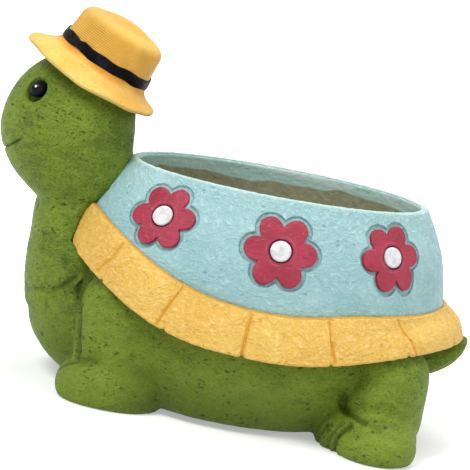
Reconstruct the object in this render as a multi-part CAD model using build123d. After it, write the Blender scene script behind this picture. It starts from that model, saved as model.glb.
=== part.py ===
from build123d import *

import math
import os

# A turtle-shaped garden planter in cast and painted resin, wearing a straw hat.
# The turtle looks along -X, its left side is -Y and the ground is Z = 0. Sizes are in millimetres.
# The torso is an open bowl. The shell stands on the bowl's upper edge and its yellow rim hangs
# round the bowl like a skirt. Neck, legs and tail are trimmed to the bowl and the rim they sit on.

# Ground, torso bowl and drain
belly_clearance = 3.0
body_centre_x = 14.0
body_half_length = 100.0
body_half_width = 81.0
body_height = 112.0
body_wall = 8.0
floor_thickness = 9.0
drain_radius = 6.5

# Shell above its lower edge at the turtle's flank
shell_foot_z = 71.5
shell_foot_centre_x = 14.2
shell_foot_half_length = 111.5
shell_foot_half_width = 80.5
shell_top_z = 131.0
shell_top_centre_x = 20.0
shell_top_half_length = 85.0
shell_top_half_width = 60.0
shell_wall_at_top = 5.5
shell_wall_at_foot = 17.5
shell_lip_outer_fillet = 3.0
shell_lip_inner_fillet = 1.4

# Yellow rim: its upper edge rises from the flank to the neck and to the tail
rim_height = 23.5
rim_front_height = 28.5
rim_proud = 2.4
rim_flare = 12.6
rim_edge_fillet = 2.0
rim_front_rise = 44.0
rim_tail_rise = 13.0
scute_groove_width = 1.8
scute_groove_depth = 1.3

# Flowers let into the shell, three on each flank
petal_count = 6
middle_flower_radius = 21.2
end_flower_radius = 19.5
flower_seat_depth = 1.8
flower_proud = 0.5
flower_moat = 1.3
flower_bed_thickness = 0.7
flower_centre_radius = 5.5
flower_centre_proud = 0.9
flower_centre_moat = 1.0
middle_flower_x = 25.8
middle_flower_z = 104.6
middle_flower_turn = 0.0
front_flower_x = -40.5
front_flower_z = 109.5
front_flower_turn = 7.5
rear_flower_x = 87.0
rear_flower_z = 108.5
rear_flower_turn = 8.4

# Neck and chest
neck_centre_x = -85.5
neck_half_length = 29.8
neck_half_width = 36.0
neck_foot_z = 38.0
neck_height = 68.0
chest_centre_x = -70.0
chest_half_length = 40.0
chest_half_width = 47.0
chest_foot_z = 3.0
chest_height = 51.0

# Head, mouth and eyes
head_centre_x = -103.0
head_half_length = 38.8
head_half_width = 37.0
head_foot_z = 97.0
head_height = 86.0
mouth_z = 121.5
mouth_rise = 4.0
mouth_groove_width = 1.5
mouth_groove_depth = 1.4
mouth_reach = 17.0
eye_x = -123.5
eye_z = 160.0
eye_cap_radius = 5.0
eye_proud = 2.2
eye_moat = 1.2
eye_moat_depth = 1.0

# Hat: its base is the plane where the crown meets the brim
hat_base_x = -90.7
hat_base_z = 178.0
hat_tilt = 23.7
crown_base_radius = 27.3
crown_top_radius = 25.2
crown_height = 26.4
crown_edge_radius = 6.4
crown_dome = 1.6
braid_count = 10
braid_depth = 0.4
brim_radius = 40.6
brim_drop = 7.4
brim_thickness = 2.6
brim_shift = 2.1
band_height = 6.0
band_thickness = 0.9

# Legs, each made of rounded lobes: the middle, the half sizes and the foot and top of each lobe
front_leg_x = -50.0
front_leg_y = 45.0
front_leg_half_length = 28.0
front_leg_half_width = 25.0
front_leg_height = 76.0
front_foot_x = -53.0
front_foot_y = 50.0
front_foot_half_length = 30.5
front_foot_half_width = 25.5
front_foot_height = 26.0
thigh_x = 95.5
thigh_y = 45.0
thigh_half_length = 25.0
thigh_half_width = 29.0
thigh_height = 61.0
rear_foot_x = 95.0
rear_foot_y = 57.5
rear_foot_half_length = 24.0
rear_foot_half_width = 26.0
rear_foot_height = 29.0
toe_x = 81.5
toe_y = 50.0
toe_half_length = 19.0
toe_half_width = 23.0
toe_height = 26.0

# Tail
tail_root_x = 101.0
tail_root_z = 42.0
tail_reach = 39.6
tail_climb = 20.0
tail_root_half_width = 15.0
tail_root_half_height = 9.5
tail_turn = 62.0

# Cutting tools reach this far past what they cut
overrun = 6.0

# Sections round each half of the rim
rim_stations = 13
rim_station_overlap = math.radians(24)

# Upright stacks of oval sections. Each row gives shares of the height, of the half length
# forwards, of the half length backwards and of the half width.
body_level_shares = [
    (0.00, 0.700, 0.700, 0.820),
    (0.05, 0.800, 0.800, 0.890),
    (0.19, 0.925, 0.920, 0.960),
    (0.37, 1.000, 0.985, 1.000),
    (0.53, 1.010, 0.990, 0.965),
    (0.68, 0.995, 0.985, 0.910),
    (0.84, 0.950, 0.970, 0.835),
    (1.00, 0.880, 0.920, 0.740),
]
bowl_level_shares = [
    (0.000, 0.660),
    (0.030, 0.790),
    (0.100, 0.900),
    (0.220, 0.965),
    (0.420, 1.000),
]
neck_level_shares = [
    (0.00, 0.87, 1.30, 1.14),
    (0.14, 0.94, 1.20, 1.12),
    (0.32, 0.995, 1.05, 1.08),
    (0.50, 1.00, 0.90, 1.00),
    (0.70, 0.995, 0.80, 0.92),
    (0.88, 0.98, 0.75, 0.88),
    (1.00, 0.80, 0.60, 0.72),
]
chest_level_shares = [
    (0.00, 0.22, 0.80, 0.60),
    (0.08, 0.46, 0.85, 0.76),
    (0.22, 0.69, 0.90, 0.88),
    (0.42, 0.89, 0.95, 0.96),
    (0.66, 0.985, 1.00, 1.00),
    (0.86, 0.99, 1.00, 0.98),
    (1.00, 0.86, 0.95, 0.88),
]
head_level_shares = [
    (0.00, 0.20, 0.90, 0.70),
    (0.045, 0.36, 0.97, 0.82),
    (0.12, 0.58, 1.00, 0.91),
    (0.21, 0.78, 1.00, 0.97),
    (0.32, 0.92, 0.99, 1.00),
    (0.44, 0.995, 0.97, 1.00),
    (0.56, 0.985, 0.945, 0.98),
    (0.68, 0.92, 0.90, 0.92),
    (0.79, 0.79, 0.82, 0.81),
    (0.88, 0.61, 0.70, 0.65),
    (0.95, 0.38, 0.53, 0.46),
    (1.00, 0.12, 0.32, 0.24),
]
# Height share and the share by which the shell has drawn in from foot to top
shell_level_shares = [-0.55, -0.30, 0.0, 0.17, 0.36, 0.56, 0.78, 1.0]
shell_draw_in_power = 1.75
# Upper edge of the rim seen from the flank: share of the way from the foot's middle to its
# front or tail end, and share of the rise there
rim_front_rise_shares = [(1.10, 1.00), (0.62, 0.45), (0.32, 0.13)]
rim_tail_rise_shares = [(0.30, 0.04), (0.62, 0.55), (0.90, 1.00), (1.40, 0.90)]
rim_line_search_share = 0.0005
# Where the grooves lie round one flank, from the tail to the neck
scute_turn_shares = [0.100, 0.233, 0.367, 0.497, 0.615, 0.740, 0.870]
# How far the rim's face has flared half-way down
rim_bow_share = 0.64
# Petals: distance of a petal's middle and its radius, as shares of the flower's radius
petal_distance_share = 0.66
petal_radius_share = 0.34
flower_heart_share = 0.56
# Where the brim sags: share of its reach and of its drop, and the height of its edge's outermost line
brim_sag_shares = (0.45, 0.5)
brim_edge_share = 0.6
# How far along a rounded corner's two sides its middle lies
corner_share = 1 - math.sqrt(0.5)
# Rounded lobe of a leg: height share and the share of its half sizes
foot_lobe_shares = [(0.0, 0.93), (0.12, 0.98), (0.35, 1.0), (0.58, 0.94), (0.78, 0.78), (0.92, 0.52), (1.0, 0.24)]
leg_lobe_shares = [(0.0, 0.80), (0.10, 0.88), (0.28, 0.94), (0.50, 1.0), (0.70, 0.96), (0.87, 0.80), (1.0, 0.45)]
# The thigh's back stands straight and its front draws in to the foot below it
thigh_level_shares = [
    (0.00, 0.30, 0.77, 0.72),
    (0.11, 0.36, 0.89, 0.78),
    (0.26, 0.62, 0.98, 0.88),
    (0.48, 1.00, 1.00, 1.00),
    (0.70, 1.02, 1.00, 0.95),
    (0.87, 0.84, 0.86, 0.76),
    (1.00, 0.42, 0.44, 0.40),
]
# Tail: share of the reach, of the climb, of the turn, and of the root's half sizes
tail_level_shares = [
    (0.00, 0.00, 0.00, 1.00),
    (0.36, 0.05, 0.15, 0.86),
    (0.68, 0.27, 0.50, 0.66),
    (0.88, 0.60, 0.85, 0.46),
    (0.97, 0.88, 1.00, 0.27),
    (1.00, 1.00, 1.00, 0.10),
]


def oval(centre_x, half_length, half_width, z, centre_y=0.0):
    """One flat oval section lying at height z."""
    return Pos(centre_x, centre_y, z) * Ellipse(half_length, half_width)


def oval_stack(rows):
    """A smooth solid through ovals given as (centre_x, half_length, half_width, z) or with a centre_y too."""
    return loft([oval(*row) for row in rows])


def stack_from_shares(level_shares, centre_x, half_length, half_width, foot_z, height, inset=0.0, centre_y=0.0):
    """The ovals of a body part, drawn in by inset all round."""
    rows = []
    for up, forwards, backwards, sideways in level_shares:
        front = centre_x - forwards * half_length + inset
        back = centre_x + backwards * half_length - inset
        middle = (front + back) / 2
        rows.append((middle, (back - front) / 2, sideways * half_width - inset, foot_z + up * height, centre_y))
    return rows


def lobe(level_shares, x, y, foot_z, half_length, half_width, height):
    """A rounded, upright lobe of the turtle's left side."""
    rows = []
    for up, across in level_shares:
        rows.append((x, across * half_length, across * half_width, foot_z + up * height, -y))
    return oval_stack(rows)


def mirrored(shape):
    """The same piece on the turtle's other side."""
    return mirror(shape, about=Plane.XZ)


def one_solid(shape):
    """The largest solid of a trimmed piece, without the crumbs that trimming leaves."""
    return max(shape.solids(), key=lambda solid: solid.volume)


def shell_size(z):
    """Middle, half length and half width of the shell's outer face at height z."""
    up = (z - shell_foot_z) / (shell_top_z - shell_foot_z)
    drawn_in = math.copysign(abs(up) ** shell_draw_in_power, up) if up > 0 else 0.0
    return (
        shell_foot_centre_x + (shell_top_centre_x - shell_foot_centre_x) * drawn_in,
        shell_foot_half_length - (shell_foot_half_length - shell_top_half_length) * drawn_in,
        shell_foot_half_width - (shell_foot_half_width - shell_top_half_width) * drawn_in,
    )


def shell_solid(grow=0.0):
    """The shell's outer form without its hollow, grown sideways by grow."""
    rows = []
    for share in shell_level_shares:
        z = shell_foot_z + share * (shell_top_z - shell_foot_z)
        centre_x, half_length, half_width = shell_size(z)
        rows.append((centre_x, half_length + grow, half_width + grow, z))
    return oval_stack(rows)


def soften_lip(shell):
    """Rounds both edges of the planting mouth, the outer one more."""
    for pick, radius in ((min, shell_lip_inner_fillet), (max, shell_lip_outer_fillet)):
        lip = shell.edges().filter_by_position(Axis.Z, shell_top_z, shell_top_z)
        shell = fillet(pick(lip, key=lambda edge: edge.length), radius)
    return shell


def rim_line():
    """The rim's upper edge seen from the flank, drawn flat: across is X and up is Z."""
    front = [
        (shell_foot_centre_x - along * shell_foot_half_length, shell_foot_z + rise * rim_front_rise)
        for along, rise in rim_front_rise_shares
    ]
    tail = [
        (shell_foot_centre_x + along * shell_foot_half_length, shell_foot_z + rise * rim_tail_rise)
        for along, rise in rim_tail_rise_shares
    ]
    return Spline([*front, (shell_foot_centre_x, shell_foot_z), *tail])


def rim_line_z(line, x):
    """Height of the rim's upper edge at x."""
    low, high = 0.0, 1.0
    while high - low > rim_line_search_share:
        middle = (low + high) / 2
        if (line @ middle).X < x:
            low = middle
        else:
            high = middle
    return (line @ low).Y


def rim_section(line, turn, inset=0.0):
    """The rim's upright section at one station round the shell, drawn in by inset."""
    reach = shell_foot_half_length * math.cos(turn)
    z = rim_line_z(line, shell_foot_centre_x + reach)
    centre_x, half_length, half_width = shell_size(z)
    x = centre_x + half_length * math.cos(turn)
    y = half_width * math.sin(turn)
    facing = math.degrees(math.atan2(math.sin(turn) / half_width, math.cos(turn) / half_length))
    root = -shell_wall_at_foot
    height = rim_height + (rim_front_height - rim_height) * max(0.0, -math.cos(turn))
    low = inset - height
    slope = rim_flare / height
    high_out = rim_proud - slope * overrun - inset
    low_out = rim_proud + rim_flare - inset
    edge_out = low_out - rim_edge_fillet * slope
    middle_out = rim_proud + rim_flare * rim_bow_share - inset
    middle_z = -height / 2
    outline = (
        Line((root, overrun), (high_out, overrun))
        + ThreePointArc((high_out, overrun), (middle_out, middle_z), (edge_out, low + rim_edge_fillet))
        + ThreePointArc(
            (edge_out, low + rim_edge_fillet),
            (low_out - rim_edge_fillet * corner_share, low + rim_edge_fillet * corner_share),
            (low_out - rim_edge_fillet, low),
        )
        + Polyline((low_out - rim_edge_fillet, low), (root, low), (root, overrun))
    )
    plane = Plane(origin=(x, y, z), x_dir=Vector(1, 0, 0).rotate(Axis.Z, facing), z_dir=Vector(0, -1, 0).rotate(Axis.Z, facing))
    return plane * make_face(outline)


def rim_form(inset=0.0):
    """The rim as a skirt that flares out from its wavy upper edge, made in halves from sections round it."""
    line = rim_line()
    first = -rim_station_overlap
    step = (math.pi + 2 * rim_station_overlap) / (rim_stations - 1)
    sections = [rim_section(line, -(first + step * number), inset) for number in range(rim_stations)]
    reach = shell_foot_half_length * 4
    half = loft(sections) & Pos(0, -reach / 2, 0) * Box(reach, reach, reach)
    return half + mirrored(half)


def below_rim_line():
    """Everything under the rim's upper edge, as one block."""
    edge = rim_line()
    start, end = edge @ 0, edge @ 1
    outline = edge + Polyline(end, (end.X, -overrun), (start.X, -overrun), start)
    reach = shell_foot_half_width + rim_flare + overrun
    return extrude(Plane.XZ * make_face(outline), amount=reach, both=True)


def bowl_hollow():
    """The planting space: it follows the torso's wall, then the shell's wall, and runs past the top."""
    floor_z = belly_clearance + floor_thickness
    rows = []
    torso = stack_from_shares(
        body_level_shares, body_centre_x, body_half_length, body_half_width, belly_clearance, body_height
    )
    centre_x, half_length, half_width = torso[3][:3]
    for up, across in bowl_level_shares:
        z = floor_z + up * body_height
        rows.append((centre_x, across * (half_length - body_wall), across * (half_width - body_wall), z))
    for share in shell_level_shares[4:]:
        z = shell_foot_z + share * (shell_top_z - shell_foot_z)
        wall = shell_wall_at_top + (shell_wall_at_foot - shell_wall_at_top) * (1 - share)
        centre_x, half_length, half_width = shell_size(z)
        rows.append((centre_x, half_length - wall, half_width - wall, z))
    centre_x, half_length, half_width = shell_size(shell_top_z + overrun)
    wall = shell_wall_at_top
    rows.append((centre_x, half_length - wall, half_width - wall, shell_top_z + overrun))
    return oval_stack(rows)


def scute_grooves():
    """Radial slots that part the rim into scutes, the same on both flanks."""
    slots = []
    for share in scute_turn_shares:
        turn = math.pi * share
        x = shell_foot_centre_x + shell_foot_half_length * math.cos(turn)
        y = shell_foot_half_width * math.sin(turn)
        facing = math.degrees(math.atan2(math.sin(turn) / shell_foot_half_width, math.cos(turn) / shell_foot_half_length))
        slot = Box(rim_flare * 4, scute_groove_width, body_height * 2)
        slots.append(Pos(x, y, shell_foot_z) * Rot(0, 0, facing) * slot)
        slots.append(mirrored(slots[-1]))
    return slots


def flower_outline(radius, grow=0.0):
    """A flat six-petalled flower about its own origin, grown all round by grow."""
    outline = Circle(radius * flower_heart_share + grow)
    for number in range(petal_count):
        petal = Circle(radius * petal_radius_share + grow)
        outline += Rot(0, 0, number * 360 / petal_count) * Pos(radius * petal_distance_share, 0) * petal
    return outline


def flower_plane(x, z):
    """A plane that looks out of the shell's left flank at a flower's middle."""
    centre_x, half_length, half_width = shell_size(z)
    along = (x - centre_x) / half_length
    y = -half_width * math.sqrt(1 - along**2)
    out_x = along / half_length
    out_y = y / half_width**2
    lower = shell_size(z - middle_flower_radius)[2]
    slope = (lower - shell_size(z + middle_flower_radius)[2]) / (2 * middle_flower_radius)
    flat = math.hypot(out_x, out_y)
    normal = Vector(out_x / flat, out_y / flat, slope).normalized()
    level = Vector(0, 0, 1).cross(normal).normalized()
    return Plane(origin=(x, y, z), x_dir=level, z_dir=normal)


def pocket(outline_plane, sketch, depth):
    """A block that reaches through the shell's skin along a flower's own direction."""
    return extrude(outline_plane * sketch, amount=depth, both=True)


def hat_place(shape):
    """Sets a shape drawn about the hat's own axis on the back of the head."""
    return Pos(hat_base_x, 0, hat_base_z) * Rot(0, hat_tilt, 0) * shape


def crown_radius(up):
    """The crown's radius at a share of its height."""
    return crown_base_radius + (crown_top_radius - crown_base_radius) * up


def crown_form():
    """The crown turned in one, with shallow braid grooves round its wall. Its foot is sunk in the brim."""
    first_braid = band_height / crown_height
    last_braid = 1 - crown_edge_radius / crown_height
    step = (last_braid - first_braid) / braid_count
    wall = [(crown_radius(0), -brim_thickness), (crown_radius(0), 0)]
    for number in range(braid_count):
        up = first_braid + step * number
        wall.append((crown_radius(up), up * crown_height))
        middle = up + step / 2
        wall.append((crown_radius(middle) - braid_depth, middle * crown_height))
    wall.append((crown_radius(last_braid), last_braid * crown_height))
    shoulder = (crown_radius(1) - crown_edge_radius, crown_height - crown_dome)
    lean = (crown_top_radius - crown_base_radius, crown_height)
    inwards = (-shoulder[0], crown_dome)
    corner = Spline([wall[-1], shoulder], tangents=[lean, inwards])
    top = Spline([shoulder, (0, crown_height)], tangents=[inwards, (-shoulder[0], 0)])
    closing = Polyline((0, crown_height), (0, -brim_thickness), wall[0])
    return revolve(make_face(Plane.XZ * (Polyline(*wall) + corner + top + closing)), Axis.Z)


def brim_form():
    """The drooping brim turned in one, a dished plate with a rounded edge."""
    along, down = brim_sag_shares
    reach = brim_radius - crown_base_radius
    root = (crown_base_radius, 0)
    tip = (brim_radius, -brim_drop)
    over = Spline([tip, (crown_base_radius + reach * along, -brim_drop * down), root])
    under_root = (crown_base_radius - brim_thickness, -brim_thickness * 2)
    under_tip = (brim_radius - brim_thickness / 2, -brim_drop - brim_thickness)
    under = Spline(
        [under_root, (crown_base_radius + reach * along, -brim_drop * down - brim_thickness), under_tip],
    )
    edge = ThreePointArc(under_tip, (brim_radius + brim_thickness / 5, -brim_drop - brim_thickness * brim_edge_share), tip)
    closing = Polyline(root, (0, 0), (0, under_root[1]), under_root)
    return revolve(make_face(Plane.XZ * (over + edge + under + closing)), Axis.Z)


def hat_solid():
    """The straw hat: its brim sits a little towards the forehead."""
    return hat_place(crown_form() + Pos(-brim_shift, 0, 0) * brim_form())


def band_solid():
    """The ribbon round the foot of the crown."""
    low = (crown_radius(0), 0)
    up = band_height / crown_height
    high = (crown_radius(up), band_height)
    ring = Polyline(low, (low[0] + band_thickness, 0), (high[0] + band_thickness, band_height), high, low)
    return hat_place(revolve(make_face(Plane.XZ * ring), Axis.Z))


def head_stack(inset=0.0):
    """The head's form, drawn in by inset."""
    return oval_stack(
        stack_from_shares(
            head_level_shares, head_centre_x, head_half_length, head_half_width, head_foot_z, head_height, inset
        )
    )


def eye_ball():
    """The left eye: a ball sunk in the head so that only its cap shows."""
    radius = (eye_cap_radius**2 + eye_proud**2) / (2 * eye_proud)
    share = (eye_z - head_foot_z) / head_height
    above = next(i for i, row in enumerate(head_level_shares) if row[0] >= share)
    low, high = head_level_shares[above - 1], head_level_shares[above]
    part = (share - low[0]) / (high[0] - low[0])
    _, forwards, backwards, sideways = (a + (b - a) * part for a, b in zip(low, high))
    middle_x = head_centre_x + (backwards - forwards) * head_half_length / 2
    half_length = (backwards + forwards) * head_half_length / 2
    half_width = sideways * head_half_width
    along = (eye_x - middle_x) / half_length
    y = -half_width * math.sqrt(1 - along**2)
    rise = (low[3] - high[3]) * head_half_width / ((high[0] - low[0]) * head_height)
    flat = math.hypot(along / half_length, y / half_width**2)
    out = Vector(along / half_length / flat, y / half_width**2 / flat, rise).normalized()
    surface = Vector(eye_x, y, eye_z)
    middle = surface - out * (radius - eye_proud)
    ball = Pos(middle) * Sphere(radius)
    moat = Plane(origin=surface, z_dir=out) * Torus(eye_cap_radius + eye_moat / 2, eye_moat / 2 + eye_moat_depth / 2)
    return ball, moat


def front_leg_form():
    """The left front leg and its foot, whole."""
    leg = lobe(
        leg_lobe_shares, front_leg_x, front_leg_y, 0, front_leg_half_length, front_leg_half_width, front_leg_height
    )
    foot = lobe(
        foot_lobe_shares, front_foot_x, front_foot_y, 0, front_foot_half_length, front_foot_half_width, front_foot_height
    )
    return leg + foot


def rear_leg_form():
    """The left rear leg: thigh, foot and the toe lobe in front of the foot, whole."""
    thigh_rows = stack_from_shares(
        thigh_level_shares, thigh_x, thigh_half_length, thigh_half_width, 0, thigh_height, centre_y=-thigh_y
    )
    foot = lobe(
        foot_lobe_shares, rear_foot_x, rear_foot_y, 0, rear_foot_half_length, rear_foot_half_width, rear_foot_height
    )
    toe = lobe(foot_lobe_shares, toe_x, toe_y, 0, toe_half_length, toe_half_width, toe_height)
    return oval_stack(thigh_rows) + foot + toe


def tail_form():
    """The tail, whole: it leaves the torso level and its tip curls upwards."""
    sections = []
    for along, up, turned, across in tail_level_shares:
        place = Pos(tail_root_x + along * tail_reach, 0, tail_root_z + up * tail_climb)
        place *= Rot(0, -turned * tail_turn, 0) * Rot(0, 90, 0)
        sections.append(place * Ellipse(across * tail_root_half_height, across * tail_root_half_width))
    return loft(sections)


def main():
    os.makedirs("parts", exist_ok=True)
    torso_rows = stack_from_shares(
        body_level_shares, body_centre_x, body_half_length, body_half_width, belly_clearance, body_height
    )
    shell_form = shell_solid()
    under_shell = below_rim_line()
    hollow = bowl_hollow()
    drain = Pos(body_centre_x, 0, 0) * Cylinder(drain_radius, (belly_clearance + floor_thickness) * 3)

    torso = oval_stack(torso_rows) & under_shell
    upper = shell_form - under_shell
    skirt = rim_form() & under_shell

    pieces = {}
    pieces["body"] = torso - hollow - drain
    shell = soften_lip(upper - hollow)
    groove_floor = rim_form(scute_groove_depth)
    pieces["shell_rim"] = skirt - torso - [slot - groove_floor for slot in scute_grooves()]

    flowers = {}
    floor = shell_solid(-flower_seat_depth)
    bed = shell_solid(flower_bed_thickness - flower_seat_depth)
    flower_skin = shell_solid(flower_proud)
    centre_skin = shell_solid(flower_centre_proud)
    reach = flower_seat_depth * 8
    for name, x, z, radius, turn in (
        ("front", front_flower_x, front_flower_z, end_flower_radius, front_flower_turn),
        ("middle", middle_flower_x, middle_flower_z, middle_flower_radius, middle_flower_turn),
        ("rear", rear_flower_x, rear_flower_z, end_flower_radius, rear_flower_turn),
    ):
        place = flower_plane(x, z) * Rot(0, 0, turn)
        seat = pocket(place, flower_outline(radius, flower_moat), reach) - floor
        petals = pocket(place, flower_outline(radius), reach) - floor
        well = pocket(place, Circle(flower_centre_radius + flower_centre_moat), reach) - bed
        heart = pocket(place, Circle(flower_centre_radius), reach) - bed
        shell -= seat
        shell -= mirrored(seat)
        flowers[f"left_{name}_flower"] = (petals & flower_skin) - well
        flowers[f"left_{name}_flower_centre"] = heart & centre_skin
    pieces["shell"] = shell
    pieces.update(flowers)

    chest = oval_stack(
        stack_from_shares(
            chest_level_shares, chest_centre_x, chest_half_length, chest_half_width, chest_foot_z, chest_height
        )
    )
    neck = oval_stack(
        stack_from_shares(neck_level_shares, neck_centre_x, neck_half_length, neck_half_width, neck_foot_z, neck_height)
    )
    head = head_stack()
    eye, moat = eye_ball()
    mouth_slab = Pos(head_centre_x - head_half_length, 0, mouth_z) * Rot(0, -mouth_rise, 0)
    mouth_slab *= Box(mouth_reach * 2, head_half_width * 2, mouth_groove_width)
    mouth = (mouth_slab & head) - head_stack(mouth_groove_depth)
    head = head - upper - skirt - mouth
    for side in (eye, mirrored(eye), moat, mirrored(moat)):
        head -= side
    pieces["head"] = one_solid(head)
    pieces["left_eye"] = eye
    pieces["neck"] = one_solid(neck - head_stack() - torso - upper - skirt)
    pieces["chest"] = one_solid(chest - torso - neck - skirt)

    for side, placed in (("left", lambda form: form), ("right", mirrored)):
        front_leg = placed(front_leg_form()) - torso - skirt - chest - neck
        pieces[f"front_{side}_leg"] = one_solid(front_leg)
        pieces[f"rear_{side}_leg"] = one_solid(placed(rear_leg_form()) - torso - skirt)
    pieces["tail"] = one_solid(tail_form() - torso - skirt)
    pieces["hat"] = one_solid(hat_solid() - head_stack())
    pieces["hat_band"] = band_solid()

    for name in list(pieces):
        if name.startswith("left_"):
            pieces[name.replace("left_", "right_")] = mirrored(pieces[name])
    for name, piece in pieces.items():
        export_step(piece, f"parts/{name}.step")


if __name__ == "__main__":
    main()
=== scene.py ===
"""A cast and hand-painted turtle planter wearing a straw hat, seen from its left side."""

import math

import bpy
from mathutils import Matrix, Vector
from mathutils.bvhtree import BVHTree
from mathutils.kdtree import KDTree


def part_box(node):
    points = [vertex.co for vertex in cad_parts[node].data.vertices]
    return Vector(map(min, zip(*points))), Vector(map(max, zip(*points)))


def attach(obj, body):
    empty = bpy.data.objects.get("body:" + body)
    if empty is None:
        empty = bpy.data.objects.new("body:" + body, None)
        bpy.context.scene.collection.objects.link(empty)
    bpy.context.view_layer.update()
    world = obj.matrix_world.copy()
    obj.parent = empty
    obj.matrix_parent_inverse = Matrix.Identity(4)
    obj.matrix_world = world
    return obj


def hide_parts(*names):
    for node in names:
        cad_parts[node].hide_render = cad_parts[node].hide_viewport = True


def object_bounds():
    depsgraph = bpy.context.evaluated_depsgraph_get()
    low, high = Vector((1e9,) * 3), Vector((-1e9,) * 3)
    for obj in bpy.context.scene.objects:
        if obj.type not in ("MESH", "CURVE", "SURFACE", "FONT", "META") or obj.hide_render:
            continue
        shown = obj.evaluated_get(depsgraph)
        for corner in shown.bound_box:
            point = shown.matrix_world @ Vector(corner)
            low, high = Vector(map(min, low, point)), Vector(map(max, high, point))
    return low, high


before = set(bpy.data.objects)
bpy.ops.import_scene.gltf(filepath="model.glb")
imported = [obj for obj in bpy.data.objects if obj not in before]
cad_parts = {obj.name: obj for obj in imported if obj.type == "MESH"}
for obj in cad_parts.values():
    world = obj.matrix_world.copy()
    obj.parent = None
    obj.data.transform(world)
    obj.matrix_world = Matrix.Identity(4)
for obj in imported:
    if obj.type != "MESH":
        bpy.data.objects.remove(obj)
cad_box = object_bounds()

bl_info = {
    "name": "Turtle planter",
    "version": (1, 0, 0),
    "blender": (4, 5, 0),
    "location": "3D View > Sidebar > Turtle Planter",
    "description": "Builds a painted turtle planter with a straw hat over its measured frame",
    "category": "Object",
}

GREEN_NODES = (
    "body",
    "chest",
    "neck",
    "head",
    "front_left_leg",
    "front_right_leg",
    "rear_left_leg",
    "rear_right_leg",
    "tail",
)
SIDES = ("left", "right")
FLOWER_PLACES = ("front", "middle", "rear")
SHELL_FACES = 185000
RIM_FACES = 170000

# The foot of the shell, and where the grooves lie round it as shares of a half turn
FOOT_MIDDLE = 0.0142
FOOT_LENGTH = 0.1115
FOOT_WIDTH = 0.0805
SCUTE_TURNS = (0.100, 0.233, 0.367, 0.497, 0.615, 0.740, 0.870)

# Where the casting may be the bowl's bare inside: half lengths seen from above, and lowest and highest place
BOWL_LENGTH = 0.1007
BOWL_WIDTH = 0.0809
BOWL_FLOOR = 0.0075
BOWL_TOP = 0.104

# Grooves between the rim's scutes, on the left side and mirrored: spread, depth, strength of wash, path
SCUTES = (
    (0.0009, 0.0009, 0.8, ((-0.058, -0.06, 0.0905), (-0.0635, -0.0636, 0.0829), (-0.071, -0.0625, 0.0735))),
    (0.0009, 0.0012, 1.0, ((-0.0215, -0.079, 0.0785), (-0.0275, -0.083, 0.0673), (-0.033, -0.0875, 0.056))),
    (0.0009, 0.0012, 1.0, ((0.0164, -0.085, 0.071), (0.0157, -0.0901, 0.0587), (0.015, -0.0935, 0.049))),
    (0.0009, 0.0012, 1.0, ((0.0582, -0.0775, 0.0745), (0.0614, -0.0828, 0.064), (0.0655, -0.0865, 0.0525))),
    (0.0009, 0.0011, 1.0, ((0.0966, -0.058, 0.0815), (0.1036, -0.0604, 0.0704), (0.1095, -0.0605, 0.06))),
    (0.0009, 0.0011, 1.0, ((0.121, -0.013, 0.085), (0.13, -0.0135, 0.074), (0.137, -0.014, 0.064))),
)

# Creases pressed into the left side of the casting, and mirrored: spread, depth, strength of dark wash and
# painted shade, path
CREASES = (
    (0.0016, 0.001, 0.4, ((-0.1145, -0.006, 0.0475), (-0.1085, -0.0219, 0.048), (-0.1003, -0.0331, 0.0513))),
    (0.0016, 0.0014, 0.7, ((-0.0939, -0.0374, 0.0533), (-0.0891, -0.0389, 0.056))),
    (0.0016, 0.0014, 0.7, ((-0.0891, -0.0389, 0.056), (-0.0824, -0.0381, 0.0626))),
    (0.0026, 0.0018, 0.8, ((-0.0785, -0.0382, 0.0593), (-0.0785, -0.043, 0.0531), (-0.0785, -0.05, 0.0478))),
    (0.0034, 0.0034, 1.0, ((-0.0785, -0.05, 0.0478), (-0.0775, -0.0545, 0.0407), (-0.0765, -0.056, 0.0338))),
    (0.0032, 0.003, 1.0, ((-0.0765, -0.056, 0.0338), (-0.075, -0.0575, 0.0271), (-0.0735, -0.058, 0.0226))),
    (0.0018, 0.0016, 0.8, ((-0.083, -0.053, 0.015), (-0.077, -0.057, 0.019), (-0.0711, -0.0595, 0.0217))),
    (0.0018, 0.0008, 0.4, ((-0.0711, -0.0595, 0.0217), (-0.0654, -0.0644, 0.0236), (-0.062, -0.066, 0.0236))),
    (0.004, 0.0022, 0.25, ((0.08, -0.067, 0.0425), (0.0774, -0.0661, 0.0361), (0.0748, -0.0624, 0.0295))),
    (0.0022, 0.0022, 0.8, ((0.0748, -0.0624, 0.0295), (0.075, -0.0605, 0.0245), (0.0778, -0.066, 0.0224))),
    (0.002, 0.0024, 0.8, ((0.0778, -0.066, 0.0224), (0.0832, -0.0739, 0.0221), (0.0888, -0.0779, 0.0213))),
    (0.002, 0.001, 0.3, ((0.0888, -0.0779, 0.0213), (0.0962, -0.0807, 0.0196))),
    (0.0019, 0.0027, 0.9, ((0.079, -0.076, 0.0178), (0.0768, -0.075, 0.0145), (0.0747, -0.0735, 0.0085))),
    (0.0019, 0.0027, 0.9, ((0.0747, -0.0735, 0.0085), (0.0743, -0.0721, 0.0))),
    (0.0014, 0.0015, 0.6, ((0.0751, -0.0708, 0.0157), (0.0713, -0.07, 0.0096), (0.0703, -0.068, 0.0))),
    (0.0014, 0.0013, 0.5, ((0.0689, -0.0658, 0.0138), (0.0661, -0.0634, 0.008), (0.065, -0.0593, 0.0))),
)

# The joint of shell and rim above the tail: its height at one place, its slope, its drop and where it begins
JOINT_X = 0.055
JOINT_HEIGHT = 0.0725
JOINT_SLOPE = 0.245
JOINT_DROP = 0.0065
DROP_FULL = 0.118
DROP_NONE = 0.06
RIM_HEIGHT = 0.024

# The rim's lower front corner, which is rounded off
RIM_CORNER = Vector((-0.087, 0.0365, 0.083))

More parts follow.
